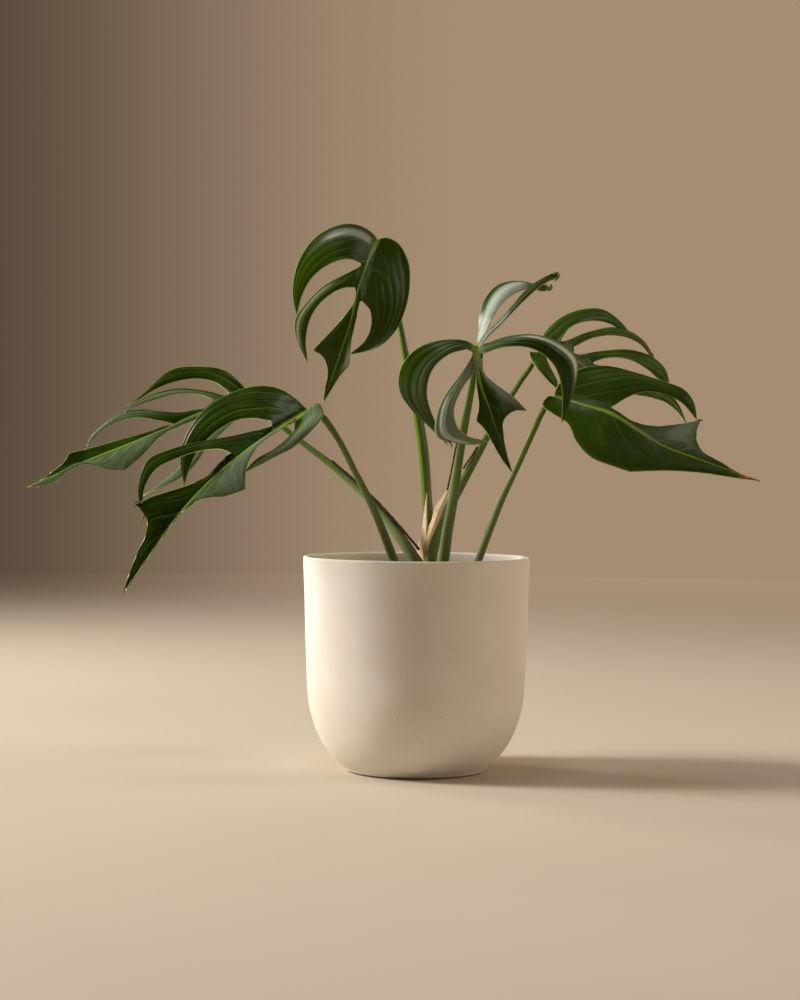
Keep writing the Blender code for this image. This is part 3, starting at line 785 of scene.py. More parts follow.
# Each leaf has its midrib and the lobes and tail of its two halves. Its share of bright green, where it has
# one, is painted light: a brighter green for light shining through the blade from behind. ribBreadth is how
# much broader than usual its pale midrib is at both ends, dryFrom where its dry brown tip starts on the
# midrib, and curls the little curls at its tips and spurs, with a width in millimetres as well.
leaves = {}
leaves["top"] = {
    "backlitGreen": 0.34,
    "ribBreadth": (1.3, 0.8),
    "midrib": [(378, 240, -20), (368, 262, -36), (357, 295, -47), (350, 325, -50), (340, 355, -49),
               (331, 380, -45), (323, 404, -40)],
    # All the pale patches of this leaf are painted sheen.
    "halves": [[
        lobe(0, 0.16, (297, 317, -36), 2,
             [(373, 234, -21), (350, 224, -26), (320, 234, -30), (300, 259, -32), (293, 292, -33)],
             [(359, 262, -44), (348, 259, -45), (330, 264, -43), (312, 278, -40), (302, 296, -38)],
             [(0.08, 0.42, 0.1, 0.55, 1.6)]),
        lobe(0.2, 0.32, (308, 363, -38), 1,
             [(357, 268, -45), (345, 274, -46), (325, 285, -45), (309, 300, -42), (295, 321, -40),
              (299, 345, -39)],
             [(353, 287, -49), (344, 288, -49), (327, 297, -47), (312, 315, -44), (306, 338, -42)],
             [(0.15, 0.5, 0.3, 0.95, 1.5)]),
        tail(0.44, 0.68, 4,
             [(352, 306, -51), (341, 320, -50), (328, 334, -48), (313, 350, -45)],
             [(323, 357, -46), (327.5, 370, -46), (325, 388, -43)],
             [(0.6, 1.2, 0.0, 0.35, 0.5)]),
    ], [
        lobe(0, 0.3, (350, 354, -42), 3,
             [(383, 238, -18), (395, 241.5, -16), (407, 258, -20), (410, 283, -27), (406, 307, -32),
              (394, 333, -36), (375, 349, -38)],
             [(363, 302, -50), (369, 309, -49), (371, 325, -46), (366, 339, -43)],
             [(-1, 0.35, 0.8, 2, 1.8), (0.35, 0.5, 0.28, 0.4, 0.5)]),
        tail(0.36, 0.72, 4,
             [(359, 304, -51), (356, 320, -51), (351, 345, -50), (350, 365, -47)],
             [(341, 375, -45), (332, 389, -43)],
             [(0.45, 2, 0.35, 0.7, 1.5)]),
    ]],
}
leaves["frontLeft"] = {
    "ribBreadth": (1.3, 0.9),
    "midrib": [(309, 411, -72), (280, 427, -82), (250, 447, -90), (222, 469, -97), (195, 496, -104),
               (160, 541, -111), (122, 595, -116)],
    "curls": [
        [(144, 503, -90, 1.8), (139, 501, -90, 1.8), (136, 503.5, -90, 1.5), (137.5, 507.5, -90, 0.5)],
        [(146, 513, -97, 1.6), (144.5, 517, -97, 1.4), (142, 521, -97, 1.1), (141, 523, -97, 0.4)],
    ],
    "halves": [[
        lobe(0, 0.16, (184, 487, -55), 2,
             [(300, 402, -62), (280, 389, -48), (255, 386.5, -36), (228, 395, -29), (207, 408, -28),
              (192, 425, -32), (182, 447, -40), (181, 468, -48)],
             [(271, 421.5, -71), (255, 419, -64), (235, 421, -56), (213, 434, -50), (197, 452, -50),
              (189, 470, -52)]),
        lobe(0.22, 0.42, (144, 518, -76), 1,
             [(267, 428.5, -76), (235, 436, -68), (200, 442, -62), (170, 450, -60), (149, 459, -60),
              (140, 480, -64), (139, 500, -70)],
             [(231, 453, -88), (222, 450, -86), (200, 451, -78), (178, 458, -74), (155, 470, -70),
              (144, 490, -70)]),
        tail(0.46, 0.72, 5,
             [(228, 455, -90), (218, 469, -94), (195, 482.5, -95), (165, 492.5, -93), (150, 497.5, -92),
              (136, 505, -92)],
             [(146, 514, -98), (147.5, 530, -103), (138, 552, -108), (129, 575, -112)]),
    ], [
        lobe(0, 0.06, (243, 473, -103), 1,
             [(317, 402.5, -80), (323, 410, -88), (319.5, 421.5, -94), (308.5, 434, -98),
              (293.5, 447.5, -100), (277, 456, -101), (258, 466, -102)],
             [(295, 424, -84), (293.5, 431, -90), (283, 443, -96), (269.5, 452.5, -99), (255, 460, -101)],
             [(-1, 0.66, -1, 2, 1.15)], arch=0.2),
        tail(0.12, 0.42, 7,
             [(289, 424, -82), (272, 434, -90), (255, 450, -98), (246, 470, -106), (245, 490, -112)],
             [(225, 496.5, -112), (203, 499, -110), (183, 512, -112), (163, 537, -115), (143, 565, -117)],
             [(-1, 2, -1, 0.5, 1.15)], arch=0.04),
    ]],
}
leaves["backLeft"] = {
    "midrib": [(257, 403, 50), (228, 407, 56), (200, 413, 61), (160, 431, 68), (125, 446, 74),
               (85, 462, 82), (28, 487, 92)],
    "curls": [
        [(37, 484, 91, 2.2), (31.5, 486.5, 92, 2.1), (28.5, 486.5, 92, 1.7), (28, 483, 91, 0.6)],
    ],
    "halves": [[
        lobe(0, 0.1, (127, 405, 94), 1,
             [(250, 395, 55), (240, 382, 64), (225, 370.5, 76), (200, 367, 90), (172, 370, 98),
              (155, 384, 100), (140, 398, 98)],
             [(229, 393, 62), (215, 382.5, 72), (195, 379, 82), (173, 382.5, 88), (152, 391, 91),
              (138, 400, 93)]),
        lobe(0.14, 0.24, (121, 416, 86), 1,
             [(226, 396, 64), (205, 391.5, 76), (180, 389, 86), (160, 393, 92), (143, 400.5, 92),
              (130, 408, 90)],
             [(214, 400, 62), (200, 395, 66), (178, 394, 72), (158, 399, 78), (140, 404.5, 82),
              (130, 409.5, 84)],
             [(0.5, 2, -1, 2, 0.8)]),
        lobe(0.28, 0.38, (86, 448, 86), 1,
             [(207, 408, 64), (180, 413, 74), (160, 411.5, 84), (140, 410, 90), (122, 414, 93),
              (105, 425, 93), (93, 434, 90)],
             [(175, 424, 66), (160, 421, 69), (137, 418, 75), (115, 423, 80), (97, 435, 84)],
             [(-1, 2, 0.5, 2, 0.8)]),
        tail(0.44, 0.76, 5,
             [(172, 426, 68), (150, 432.5, 75), (120, 440, 81), (95, 447, 86), (70, 453, 90)],
             [(65, 461, 88), (50, 473.5, 89), (38, 482.5, 91)]),
    ], [
        lobe(0.02, 0.2, (143, 496, 54), 1,
             [(242, 415, 48), (222, 433, 42), (206, 449, 40), (195, 465, 40), (180, 478, 43),
              (160, 488, 48)],
             [(216, 420, 56), (203, 436, 50), (188, 457, 48), (173, 473.5, 50), (156, 487, 53)],
             [whole]),
        tail(0.26, 0.66, 6,
             [(203, 417, 60), (180, 426, 62), (160, 437, 62), (142, 456, 60), (125, 470.5, 60)],
             [(108, 469.5, 66), (84, 463.5, 76), (69, 471, 80), (55, 482, 84), (40, 486.5, 88)],
             [whole]),
    ]],
}
leaves["front"] = {
    "backlitGreen": 0.1,
    "ribBreadth": (2.4, 0.25),
    "midrib": [(476, 346, -86), (477, 360, -93), (481, 388, -101), (488, 406, -104), (496, 428, -104),
               (503, 447, -101), (513, 474, -96)],
    "curls": [
        [(544, 285.5, -49, 1.4), (546, 287.5, -49, 2.6), (548.5, 290, -49, 3.4), (550.5, 288, -48, 2.8),
         (549.5, 285, -48, 1.0)],
        [(553, 274.5, -50, 1.6), (556.5, 273.5, -49, 3.0), (558, 276, -48, 3.2), (556.5, 279, -48, 2.4),
         (554.5, 281.5, -48, 1.0)],
        [(447, 441, -80, 1.6), (450, 443.5, -80, 1.5), (451.2, 446.5, -80, 1.2), (451, 449.5, -80, 0.4)],
    ],
    # The pale patches of this leaf are painted sheen, where its glossy face would reflect light.
    "halves": [[
        lobe(0, 0.06, (449, 446, -80), 2,
             [(466, 341, -86), (445, 340, -88), (418, 348, -88), (401, 368, -84), (399.5, 390, -80),
              (412, 410, -78), (430, 427, -78)],
             [(467, 349, -93), (448, 355, -98), (433, 369, -100), (427, 391, -96), (430, 408, -88),
              (438, 427, -84)],
             [(0.62, 2, 0.12, 0.8, 0.5)]),
        lobe(0.1, 0.2, (489, 442, -107), 2,
             [(471, 358, -96), (460, 375, -102), (445, 395, -108), (436, 418, -111), (436.5, 436, -110),
              (455, 442.5, -107), (475, 444.5, -106)],
             [(474, 373, -100), (461, 391, -108), (454, 412, -112), (459, 429, -112), (469, 436.5, -110),
              (480, 439.5, -108)],
             [(-1, 2, 0.14, 2, 1.25), (0.15, 0.6, 0.4, 0.95, 1.55)], arch=0.2),
        tail(0.24, 0.5, 4,
             [(476, 375, -100), (477, 390, -104), (479, 405, -107), (476, 421, -110)],
             [(484, 429, -107), (492, 443, -105), (502, 460, -101)]),
    ], [
        lobe(0, 0.02, (549, 290, -49), 1,
             [(478, 334, -80), (479, 318, -71), (484, 301, -63), (497, 286, -56), (515, 281.5, -51),
              (531, 284, -49), (542, 284.5, -48)],
             [(487, 331, -86), (491, 321, -83), (497, 311, -80), (506, 300, -74), (518, 292, -67),
              (531, 288.5, -60), (542, 291.5, -54)],
             [(-1, 2, -1, 0.4, 2.0), (0.3, 2, 0.2, 0.85, 1.6)]),
        lobe(0.02, 0.04, (558, 273.5, -48), 1,
             [(490, 329, -84), (502, 317, -78), (514, 304, -70), (522, 294.5, -63), (533, 284.5, -57),
              (547, 276, -51), (554, 273, -49)],
             [(488, 337, -88), (500, 326, -84), (511, 314, -79), (526, 299, -71), (540, 287, -63),
              (550, 281, -56), (556, 278.5, -51)],
             [(-1, 2, -1, 0.5, 1.5)]),
        lobe(0.04, 0.08, (561, 424, -80), 2,
             [(484, 344, -90), (505, 337, -92), (535, 335, -92), (563, 345, -90), (576, 356.5, -86),
              (576, 378, -82), (569, 402, -80)],
             [(485, 353, -95), (505, 347, -100), (533, 349, -102), (553, 364, -99), (561, 385, -93),
              (562, 407, -86)],
             [(-1, 2, -1, 0.28, 1.1), (0.1, 0.45, 0.35, 0.8, 1.85)], arch=0.22),
        tail(0.1, 0.42, 4,
             [(483, 358, -95), (484, 373, -99), (497, 386, -101), (512, 396, -101), (527, 411, -100)],
             [(515, 411, -101), (504.5, 419, -103), (504, 437, -103), (508, 457, -100)],
             [(0.35, 2, -1, 0.42, 1.3), (0.3, 0.8, 0.1, 0.24, 1.9)]),
    ]],
}
leaves["backRight"] = {
    "backlitGreen": 0.6,
    "midrib": [(536, 353, 58), (556, 350, 64), (575, 359, 69), (593, 372, 75), (620, 383, 82),
               (650, 390.5, 90), (672, 401.5, 94), (688, 428, 96)],
    "curls": [
        [(652, 353, 105, 1.8), (653.5, 358, 104, 1.7), (655.5, 362, 103, 1.5), (656, 366.5, 103, 0.5)],
    ],
    "halves": [[
        lobe(0, 0.1, (557, 389, 44), 1,
             [(530, 352, 50), (531, 359, 47), (536, 367, 44), (546, 378.5, 42)],
             [(546, 357, 58), (549.5, 366.5, 54), (554, 375, 49), (557.5, 382, 46)]),
        lobe(0.14, 0.34, (618, 440, 46), 2,
             [(557, 363, 63), (562, 376, 58), (575, 394, 50), (592, 416, 44)],
             [(590, 384, 68), (598, 398, 60), (608, 418, 52)]),
        tail(0.4, 0.66, 3,
             [(606, 385, 74), (620, 391.5, 76), (640, 395.5, 82)],
             [(655, 398.5, 87), (669, 404.5, 91), (679, 414, 94)]),
    ], [
        lobe(0, 0.1, (641, 342, 104), 1,
             [(537, 349, 62), (545, 332, 72), (560, 318, 84), (580, 310, 94), (603, 310, 101),
              (620, 322, 105), (632, 337, 106)],
             [(561, 340, 72), (570, 328, 80), (590, 321, 88), (610, 324, 95), (626, 334, 101)]),
        lobe(0.14, 0.22, (655.5, 367, 106), 1,
             [(566, 341, 80), (590, 332, 94), (618, 328.5, 104), (639, 338, 108), (651, 354, 108)],
             [(574, 347, 74), (595, 337.5, 80), (620, 336, 87), (640, 344, 95), (650, 356, 101)]),
        lobe(0.26, 0.36, (669, 383, 103), 1,
             [(580, 355, 80), (605, 351, 92), (632, 350.5, 101), (655, 359, 105), (666, 371, 105)],
             [(593, 362, 76), (608, 358, 80), (630, 360, 87), (648, 370, 94), (660, 380, 99)]),
        tail(0.42, 0.7, 3,
             [(599, 365.5, 80), (620, 372, 86), (645, 380, 92), (664, 388, 97)],
             [(673, 397, 98), (681, 410, 97)]),
    ]],
}
leaves["right"] = {
    "backlitGreen": 0.32,
    "ribBreadth": (1.4, 1),
    "dryFrom": 0.915,
    "midrib": [(553, 397, -33), (575, 402, -42), (610, 413, -52), (640, 432, -57), (662, 446, -59),
               (700, 460, -61), (760, 481, -62)],
    "curls": [
        [(696, 421, -46, 1.6), (699, 420, -46, 1.6), (701, 420.5, -46, 1.0), (702, 421.5, -46, 0.5)],
    ],
    # The pale patches of this leaf are painted sheen, in streaks and near the corner.
    "halves": [[
        tail(0, 0.42, 9,
             [(547, 397, -34), (542, 404, -38), (553, 414, -46), (568, 424, -52), (576, 441, -60),
              (592, 458, -68), (612, 466, -72), (630, 472, -74)],
             [(670, 471, -72), (705, 473.5, -68), (735, 478, -64)],
             [(0.45, 0.75, 0.36, 0.4, 0.7), (0.6, 0.85, 0.52, 0.55, 0.5)]),
    ], [
        lobe(0, 0.26, (697, 420, -40), 3,
             [(556, 388, -30), (575, 371, -26), (602, 366, -22), (635, 373, -22), (662, 381.5, -25),
              (685, 390.5, -30), (694, 403, -35)],
             [(614, 406, -47), (625, 399, -44), (645, 392, -38), (665, 394.5, -36), (683, 404, -37),
              (692, 414, -39)]),
        tail(0.32, 0.62, 6,
             [(618, 412, -49), (632, 421, -52), (652, 426, -52), (677, 424, -48), (700, 420, -46)],
             [(696, 432, -50), (700, 449, -56), (720, 462, -59), (740, 475, -61)],
             [(0.15, 2, 0.22, 0.6, 1.25), (-1, 0.2, 0.05, 0.5, 1.4)]),
    ]],
}
# The blades' and the stalks' nodes are named by where the leaf is.
endings = {"top": "top", "frontLeft": "front_left", "backLeft": "back_left", "front": "front",
           "backRight": "back_right", "right": "right"}
leafLook = {
    "thickness": 0.0009,
    "webRows": 10,
    "freeRows": 40,
    "columnStep": 0.011,
    "leastColumns": 8,
    # How steeply an edge's first points may change depth, for each step sideways.
    "steepest": (0.35, 0.75),
    "archOver": 4.0,
    "wayStep": 0.02,
    # A cut's rounded end reaches in by a share of the cut's width, and at most of its way to the midrib.
    "sinusRounding": 0.66,
    "sinusDeepest": 0.7,
    "sinusSteps": 32,
    "tailStart": 0.05,
    # Main veins lean forward: on a tail all the way, on a lobe near the midrib. Gaps are in millimetres.
    "sweep": 0.24,
    "lobeSweep": 0.6,
    "lobeSweepOver": 0.4,
    "tailGap": 0.8,
    "narrow": 12,
    "webGap": 10.0,
    "webOut": 0.2,
    "patchBlur": (0.12, 0.14),
    "lobePaleFrom": 0.03,
    "tailPaleFrom": 0.15,
    "smoothing": 2,
    "depthSmoothing": 60,
    "softBeside": (8.0, 6.5, 5.0, 3.5, 2.0),
    "softRounds": 12,
    "ribHalfWidth": (0.0032, 0.0007),
    "onRib": 0.001,
    "ribDepth": 0.0004,
    "ribFlattens": 0.7,
    "ribDip": (0.2, 1.5),
    "puff": 0.000038,
    "widestPuff": 12,
    "puffBeside": (0.8, 3.0),
    "puffOut": (0.08, 0.36),
    "crinkle": 0.00012,
    "crinkleScale": 160,
    "dryBlur": 0.012,
    "dryScale": 300,
    "specular": 0.18,
    "grains": {
        "wander": ("object", 70.0, 2.0),
        "cloud": ("object", 32.0, 3.0, 0.55),
        "fine": ("object", 1100.0, 2.0, 0.6),
        "streaks": ("veins", 5.0, 4.0, 0.6, (1.6, 0.5, 1.0)),
        "crisp": ("object", 260.0, 3.0),
    },
    "veinWander": 0.12,
    "veinEdge": (0.1, 0.7),
    "veinFade": (0.2, 0.95, 1.0, 0.12),
    "smallVeins": 7.0,
    "smallEdge": (0.05, 0.3),
    "ribEdge": (0.45, 0.8, 0.8, 0.0),
    "marginEdge": (0.25, 0.9, 0.7, 0.0),
    "cloudBand": (0.3, 0.72),
    "streakBand": (0.45, 0.75, 0.0, 0.3),
    "underBand": (0.3, 0.7),
    "sheenBand": (0.35, 0.7, 0.95, 0.6),
    "crispBand": (0.35, 0.65),
    # How strongly the main and the small veins show in the colour, above and below.
    "veinsShow": (0.6, 0.10),
    "underVeinsShow": (0.45, 0.12),
    "glossy": (0.3, 0.38),
    "dull": (0.42, 0.56),
    "relief": {"vein": -0.8, "small": -0.08, "fine": 0.22},
    "bump": (0.00018, 0.7),
    "topDark": "#0e1901",
    "topLight": "#203404",
    # A brighter green, painted light for light shining through a blade.
    "backlitGreen": "#48680f",
    "vein": "#537216",
    "rib": "#84a22e",
    "underDark": "#384a2a",
    "underLight": "#647853",
    "underSmall": "#8f9d74",
    "underVein": "#98a66c",
    # The silvery pale of the painted sheen on the face.
    "paintedSheen": "#e4f1e4",
    "margin": "#a3b552",
    "dry": "#d98c2e",
    "dryDark": "#8a5018",
}
edgeFinish = {
    "grains": {"tone": ("object", 120.0, 3.0)},
    "base": ("tone", 0.3, 0.7, "#a9b96c", "#d6dca2"),
    "coats": [],
    "roughness": ("tone", 0.4, 0.55),
    "relief": ({"tone": 1.0}, 0.0001, 0.4),
}


# Keeps the blade from folding sharply beside its midrib: the first points of an edge change depth slowly.
def gentle(points):
    eased = [points[0]]
    for point, steepest in zip(points[1:], leafLook["steepest"]):
        flat = (point - eased[-1]).xz.length
        drop = max(-flat * steepest, min(flat * steepest, point.y - eased[-1].y))
        eased.append(Vector((point.x, eased[-1].y + drop, point.z)))
    return eased + points[len(eased):]


# An edge beside a cut starts in its own direction. The first edge of a half curves out of the midrib.
def edgeLine(root, edge, atCut):
    points = gentle([root, *map(inSpace, edge)])
    if atCut:
        web, free = points[:2], smoothLine(points[1:])
    else:
        line = smoothLine(points)
        web, free = line[:lineSteps + 1], line[lineSteps:]
    return evenly(web, leafLook["webRows"]) + evenly(free, leafLook["freeRows"])[1:]


# A point between two edges, lifted into an arch.
def arched(a, b, way, share, rise):
    across = b - a
    lift = way.cross(across).normalized() * across.length * rise * 4 * share * (1 - share)
    return a.lerp(b, share) + lift


# Shares of the midrib where both halves have a point.
def stationsOf(halves):
    marks = {0.0, 1.0}
    for half in halves:
        for piece in half:
            end = piece.get("end", 1.0)
            marks |= {piece["start"], end, piece.get("corner", (piece["start"] + end) / 2)}
    marks = sorted(marks)
    stations = [0.0]
    for a, b in zip(marks, marks[1:]):
        count = max(leafLook["leastColumns"], math.ceil((b - a) / leafLook["columnStep"]))
        stations += [a + (b - a) * i / count for i in range(1, count + 1)]
    return stations


def between(stations, start, end):
    return [s for s in stations if start - sameValue <= s <= end + sameValue]


# How pale the patches of a lobe or tail make a spot of it.
def paleness(patches, across, outward):
    aside, onward = leafLook["patchBlur"]
    most = 0.0
    for low, high, first, last, strength in patches:
        side = ease(low - aside, low + aside, across) * (1 - ease(high - aside, high + aside, across))
        length = ease(first - onward, first + onward, outward)
        length *= 1 - ease(last - onward, last + onward, outward)
        most = max(most, strength * side * length)
    return most


# One grid of a leaf. Each row holds (place, vein number, way out, paleness, millimetres between veins,
# millimetres to the margin) for its points, which stay on the corners for the material.
def addGrid(mesh, midrib, shares, rows, tailRows=False):
    broad, fine = leafLook["ribHalfWidth"]
    facts = mesh.verts.layers.float_vector["leafFacts"]
    numbers = mesh.verts.layers.float_vector["numbers"]
    ends = mesh.verts.layers.float_vector["leafEnds"]
    chain = []
    for i, row in enumerate(rows):
        chain, faces = nextRow(mesh, chain, [entry[0] for entry in row])
        for j, (corner, entry) in enumerate(zip(chain, row)):
            share = shares[i] if tailRows else shares[j]
            near = (entry[0] - midrib[share]).length / (broad + (fine - broad) * share)
            corner.co = entry[0]
            corner[facts] = (near, entry[3], entry[4])
            corner[numbers] = (entry[1], entry[2], share)
            corner[ends] = (entry[5], 0, 0)
        uv = mesh.loops.layers.uv["veins"]
        for face in faces:
            for loop in face.loops:
                loop[uv].uv = loop.vert[numbers].xy


# The rows of a lobe run from the midrib out to its tip, each across from its near to its far edge.
def addLobe(mesh, midrib, stations, piece, side, base):
    veins, webRows = piece["veins"], leafLook["webRows"]
    shares = between(stations, piece["start"], piece["end"])
    near = edgeLine(midrib[shares[0]], piece["near"] + [piece["tip"]], base > 0)
    far = edgeLine(midrib[shares[-1]], piece["far"] + [piece["tip"]], True)
    places = [(s - shares[0]) / (shares[-1] - shares[0]) for s in shares]
    rows = []
    for i in range(len(near)):
        before, after = max(i - 1, 0), min(i + 1, len(near) - 1)
        way = near[after] + far[after] - near[before] - far[before]
        rise = side * piece["arch"] * ease(0, leafLook["archOver"], i / webRows)
        out = i / (len(near) - 1)
        width = (far[i] - near[i]).length * 1000
        lean = leafLook["lobeSweep"] * (1 - ease(0, leafLook["lobeSweepOver"], out))
        row = []
        for share, place in zip(shares, places):
            spot = arched(near[i], far[i], way, place, rise) if i else midrib[share]
            number = base + veins * (place + lean)
            edged = i > webRows or piece["start"] == 0
            margin = min(place, 1 - place) * width if edged else leafLook["webGap"]
            pale = paleness(piece["pale"], place, out) * ease(0, leafLook["lobePaleFrom"], out)
            row.append((spot, number, out, pale, width / veins, margin))
        rows.append(row)
    addGrid(mesh, midrib, shares, rows)
    return near, far


# The rows of a tail run along the midrib to the leaf's tip, each from the midrib out to the edge.
def addTail(mesh, midrib, stations, piece, side, base):
    veins, webRows, wayStep = piece["veins"], leafLook["webRows"], leafLook["wayStep"]
    tip = midrib[1.0]
    start = midrib[piece["start"]]
    inner = smoothLine(gentle([start, *map(inSpace, piece["inner"])])[1:])
    outer = smoothLine([inner[-1], *map(inSpace, piece["outer"]), tip])
    shares = between(stations, piece["start"], 1)
    line = [midrib[s] for s in stations]
    length = sum((b - a).length for a, b in zip(line, line[1:]))
    gap = length * (1 - piece["start"]) * 1000 / veins * leafLook["tailGap"]
    rows = []
    for s in shares:
        if s <= piece["corner"]:
            edge = along(inner, (s - piece["start"]) / (piece["corner"] - piece["start"]))
        else:
            edge = along(outer, (s - piece["corner"]) / (1 - piece["corner"]))
        way = along(line, min(1, s + wayStep)) - along(line, max(0, s - wayStep))
        width = (edge - midrib[s]).length * 1000
        forward = (s - piece["start"]) / (1 - piece["start"])
        closeness = min(1, width / leafLook["narrow"])
        row = []
        for i in range(webRows + 1):
            place = i / webRows
            spot = arched(midrib[s], edge, way, place, -side * piece["arch"])
            number = base + veins * (1 + forward - leafLook["sweep"] * place / (1 - piece["start"]))
            pale = paleness(piece["pale"], place, forward) * ease(0, leafLook["tailPaleFrom"], place)
            row.append((spot, number, place, pale, gap * closeness, (1 - place) * width))
        rows.append(row)
    addGrid(mesh, midrib, shares, rows, True)
    return [entry[0] for entry in rows[0]] + [along(inner, leafLook["tailStart"])]


# The stretch of blade between two lobes, from the midrib to the rounded end of their cut.
def addWeb(mesh, midrib, shares, before, after, number, pale):
    last, webGap = leafLook["webRows"], leafLook["webGap"]
    places = [(s - shares[0]) / (shares[-1] - shares[0]) for s in shares]
    gap = (before[last] - after[last]).length
    deepest = leafLook["sinusDeepest"] * (before[last] - before[0]).length
    reach = min(leafLook["sinusRounding"] * gap, deepest)
    inwardA, inwardB = ((side[last] - side[last + 1]).normalized() * reach for side in (before, after))
    bend = interpolate_bezier(before[last], before[last] + inwardA, after[last] + inwardB, after[last],
                              leafLook["sinusSteps"] + 1)
    rows = []
    for i in range(last + 1):
        row = []
        for share, t in zip(shares, places):
            spot = before[i].lerp(after[i], t) if i else midrib[share]
            spot = spot + (along(bend, t) - before[last].lerp(after[last], t)) * (i / last)
            row.append((spot, number, i / last * leafLook["webOut"], pale if i else 0, webGap, webGap))
        rows.append(row)
    addGrid(mesh, midrib, shares, rows)


# Lifts the surface between the veins and sinks it along the midrib, as a real blade does.
def relieve(mesh):
    facts = mesh.verts.layers.float_vector["leafFacts"]
    numbers = mesh.verts.layers.float_vector["numbers"]
    mesh.normal_update()
    moves = []
    for corner in mesh.verts:
        near, gap = corner[facts].x, corner[facts].z
        number, outward, share = corner[numbers]
        fromVein = abs(number % 1 - 0.5)
        clear = ease(*leafLook["puffBeside"], near) * ease(*leafLook["puffOut"], outward)
        puff = leafLook["puff"] * min(leafLook["widestPuff"], gap) * math.sin(2 * math.pi * fromVein) * clear
        puff += leafLook["crinkle"] * noise.noise(corner.co * leafLook["crinkleScale"])
        depth = leafLook["ribDepth"] * (1 - leafLook["ribFlattens"] * share)
        dip = depth * (1 - ease(*leafLook["ribDip"], near))
        moves.append(corner.normal * (puff - dip))
    for corner, move in zip(mesh.verts, moves):
        corner.co += move


# How broad a leaf's pale midrib is at a share of it, against the usual.
def breadthAt(leaf, share):
    first, last = leaf.get("ribBreadth", (1, 1))
    return last + (first - last) * (1 - share) ** 3


# The lobes, the webs between them and the tail of both halves, joined along the midrib.
def growBlade(mesh, leaf):
    line = lineThrough(leaf["midrib"])
    stations = stationsOf(leaf["halves"])
    midrib = {s: along(line, s) for s in stations}
    for half, side in zip(leaf["halves"], (1, -1)):
        before, number = None, 0
        for piece in half:
            if "tip" in piece:
                first, last = addLobe(mesh, midrib, stations, piece, side, number)
            else:
                first, last = addTail(mesh, midrib, stations, piece, side, number), None
            if before and piece["start"] > before["end"]:
                shares = between(stations, before["end"], piece["start"])
                pale = 1.0 if whole in piece["pale"] and whole in before["pale"] else 0.0
                addWeb(mesh, midrib, shares, edge, first, number, pale)
            before, edge = piece, last
            number += piece["veins"]
    settle(mesh)
    bmesh.ops.remove_doubles(mesh, verts=mesh.verts, dist=sameSpot)
    bmesh.ops.dissolve_degenerate(mesh, edges=mesh.edges, dist=sameSpot)


# Evens out the surface, then its depth alone, most of all beside the midrib.
def softenBlade(mesh):
    inside = [v for v in mesh.verts if not v.is_boundary]
    for _ in range(leafLook["smoothing"]):
        bmesh.ops.smooth_vert(mesh, verts=inside, factor=0.5, use_axis_x=True, use_axis_y=True,
                              use_axis_z=True)
    for _ in range(leafLook["depthSmoothing"]):
        bmesh.ops.smooth_vert(mesh, verts=mesh.verts, factor=0.5, use_axis_y=True)
    facts = mesh.verts.layers.float_vector["leafFacts"]
    for soft in leafLook["softBeside"]:
        nearRib = [v for v in mesh.verts if v[facts].x < soft]
        for _ in range(leafLook["softRounds"]):
            bmesh.ops.smooth_vert(mesh, verts=nearRib, factor=0.5, use_axis_y=True)


def leafMesh(leaf):
    mesh = bmesh.new()
    for name in ("leafFacts", "numbers", "leafEnds"):
        mesh.verts.layers.float_vector.new(name)
    mesh.loops.layers.uv.new("veins")
    growBlade(mesh, leaf)
    softenBlade(mesh)
    bmesh.ops.recalc_face_normals(mesh, faces=mesh.faces)
    facing = sum((face.normal.z - face.normal.y) * face.calc_area() for face in mesh.faces)
    if facing < 0:
        bmesh.ops.reverse_faces(mesh, faces=mesh.faces)
    layers = mesh.verts.layers.float_vector
    facts, numbers, ends = layers["leafFacts"], layers["numbers"], layers["leafEnds"]
    for corner in mesh.verts:
        corner[facts].x /= breadthAt(leaf, corner[numbers].z)
    relieve(mesh)
    blur = leafLook["dryBlur"]
    for corner in mesh.verts:
        share = corner[numbers].z + blur * noise.noise(corner.co * leafLook["dryScale"])
        corner[ends].y = ease(-blur, blur, share - leaf.get("dryFrom", 2))
        # How much brighter green is painted over the blade, for light shining through it.
        corner[ends].z = leaf.get("backlitGreen", 0)
    return mesh


def fromMiddle(tree, number):
    return sums(tree, "ABSOLUTE", sums(tree, "SUBTRACT", sums(tree, "FRACT", number), 0.5))


# The green of a blade's face, with its veins, and the grey green of its underside. fresh is a share of
# brighter green over the face, painted light for light shining through the blade.
def leafColours(tree, grains, vein, small, fresh):
    look = leafLook
    veinShows, smallShows = look["veinsShow"]
    clouds = spread(tree, grains["cloud"], *look["cloudBand"])
    green = blendColours(tree, clouds, look["topDark"], look["topLight"])
    green = moreCoats(tree, green, [
        (fresh, look["backlitGreen"]),
        (spread(tree, grains["streaks"], *look["streakBand"]), look["vein"]),
        (times(tree, small, smallShows), look["vein"]),
        (times(tree, vein, veinShows), look["vein"]),
    ])
    veinShows, smallShows = look["underVeinsShow"]
    streaks = spread(tree, grains["streaks"], *look["underBand"])
    under = blendColours(tree, streaks, look["underDark"], look["underLight"])
    under = moreCoats(tree, under, [
        (times(tree, small, smallShows), look["underSmall"]),
        (times(tree, vein, veinShows), look["underVein"]),
    ])
    return green, under
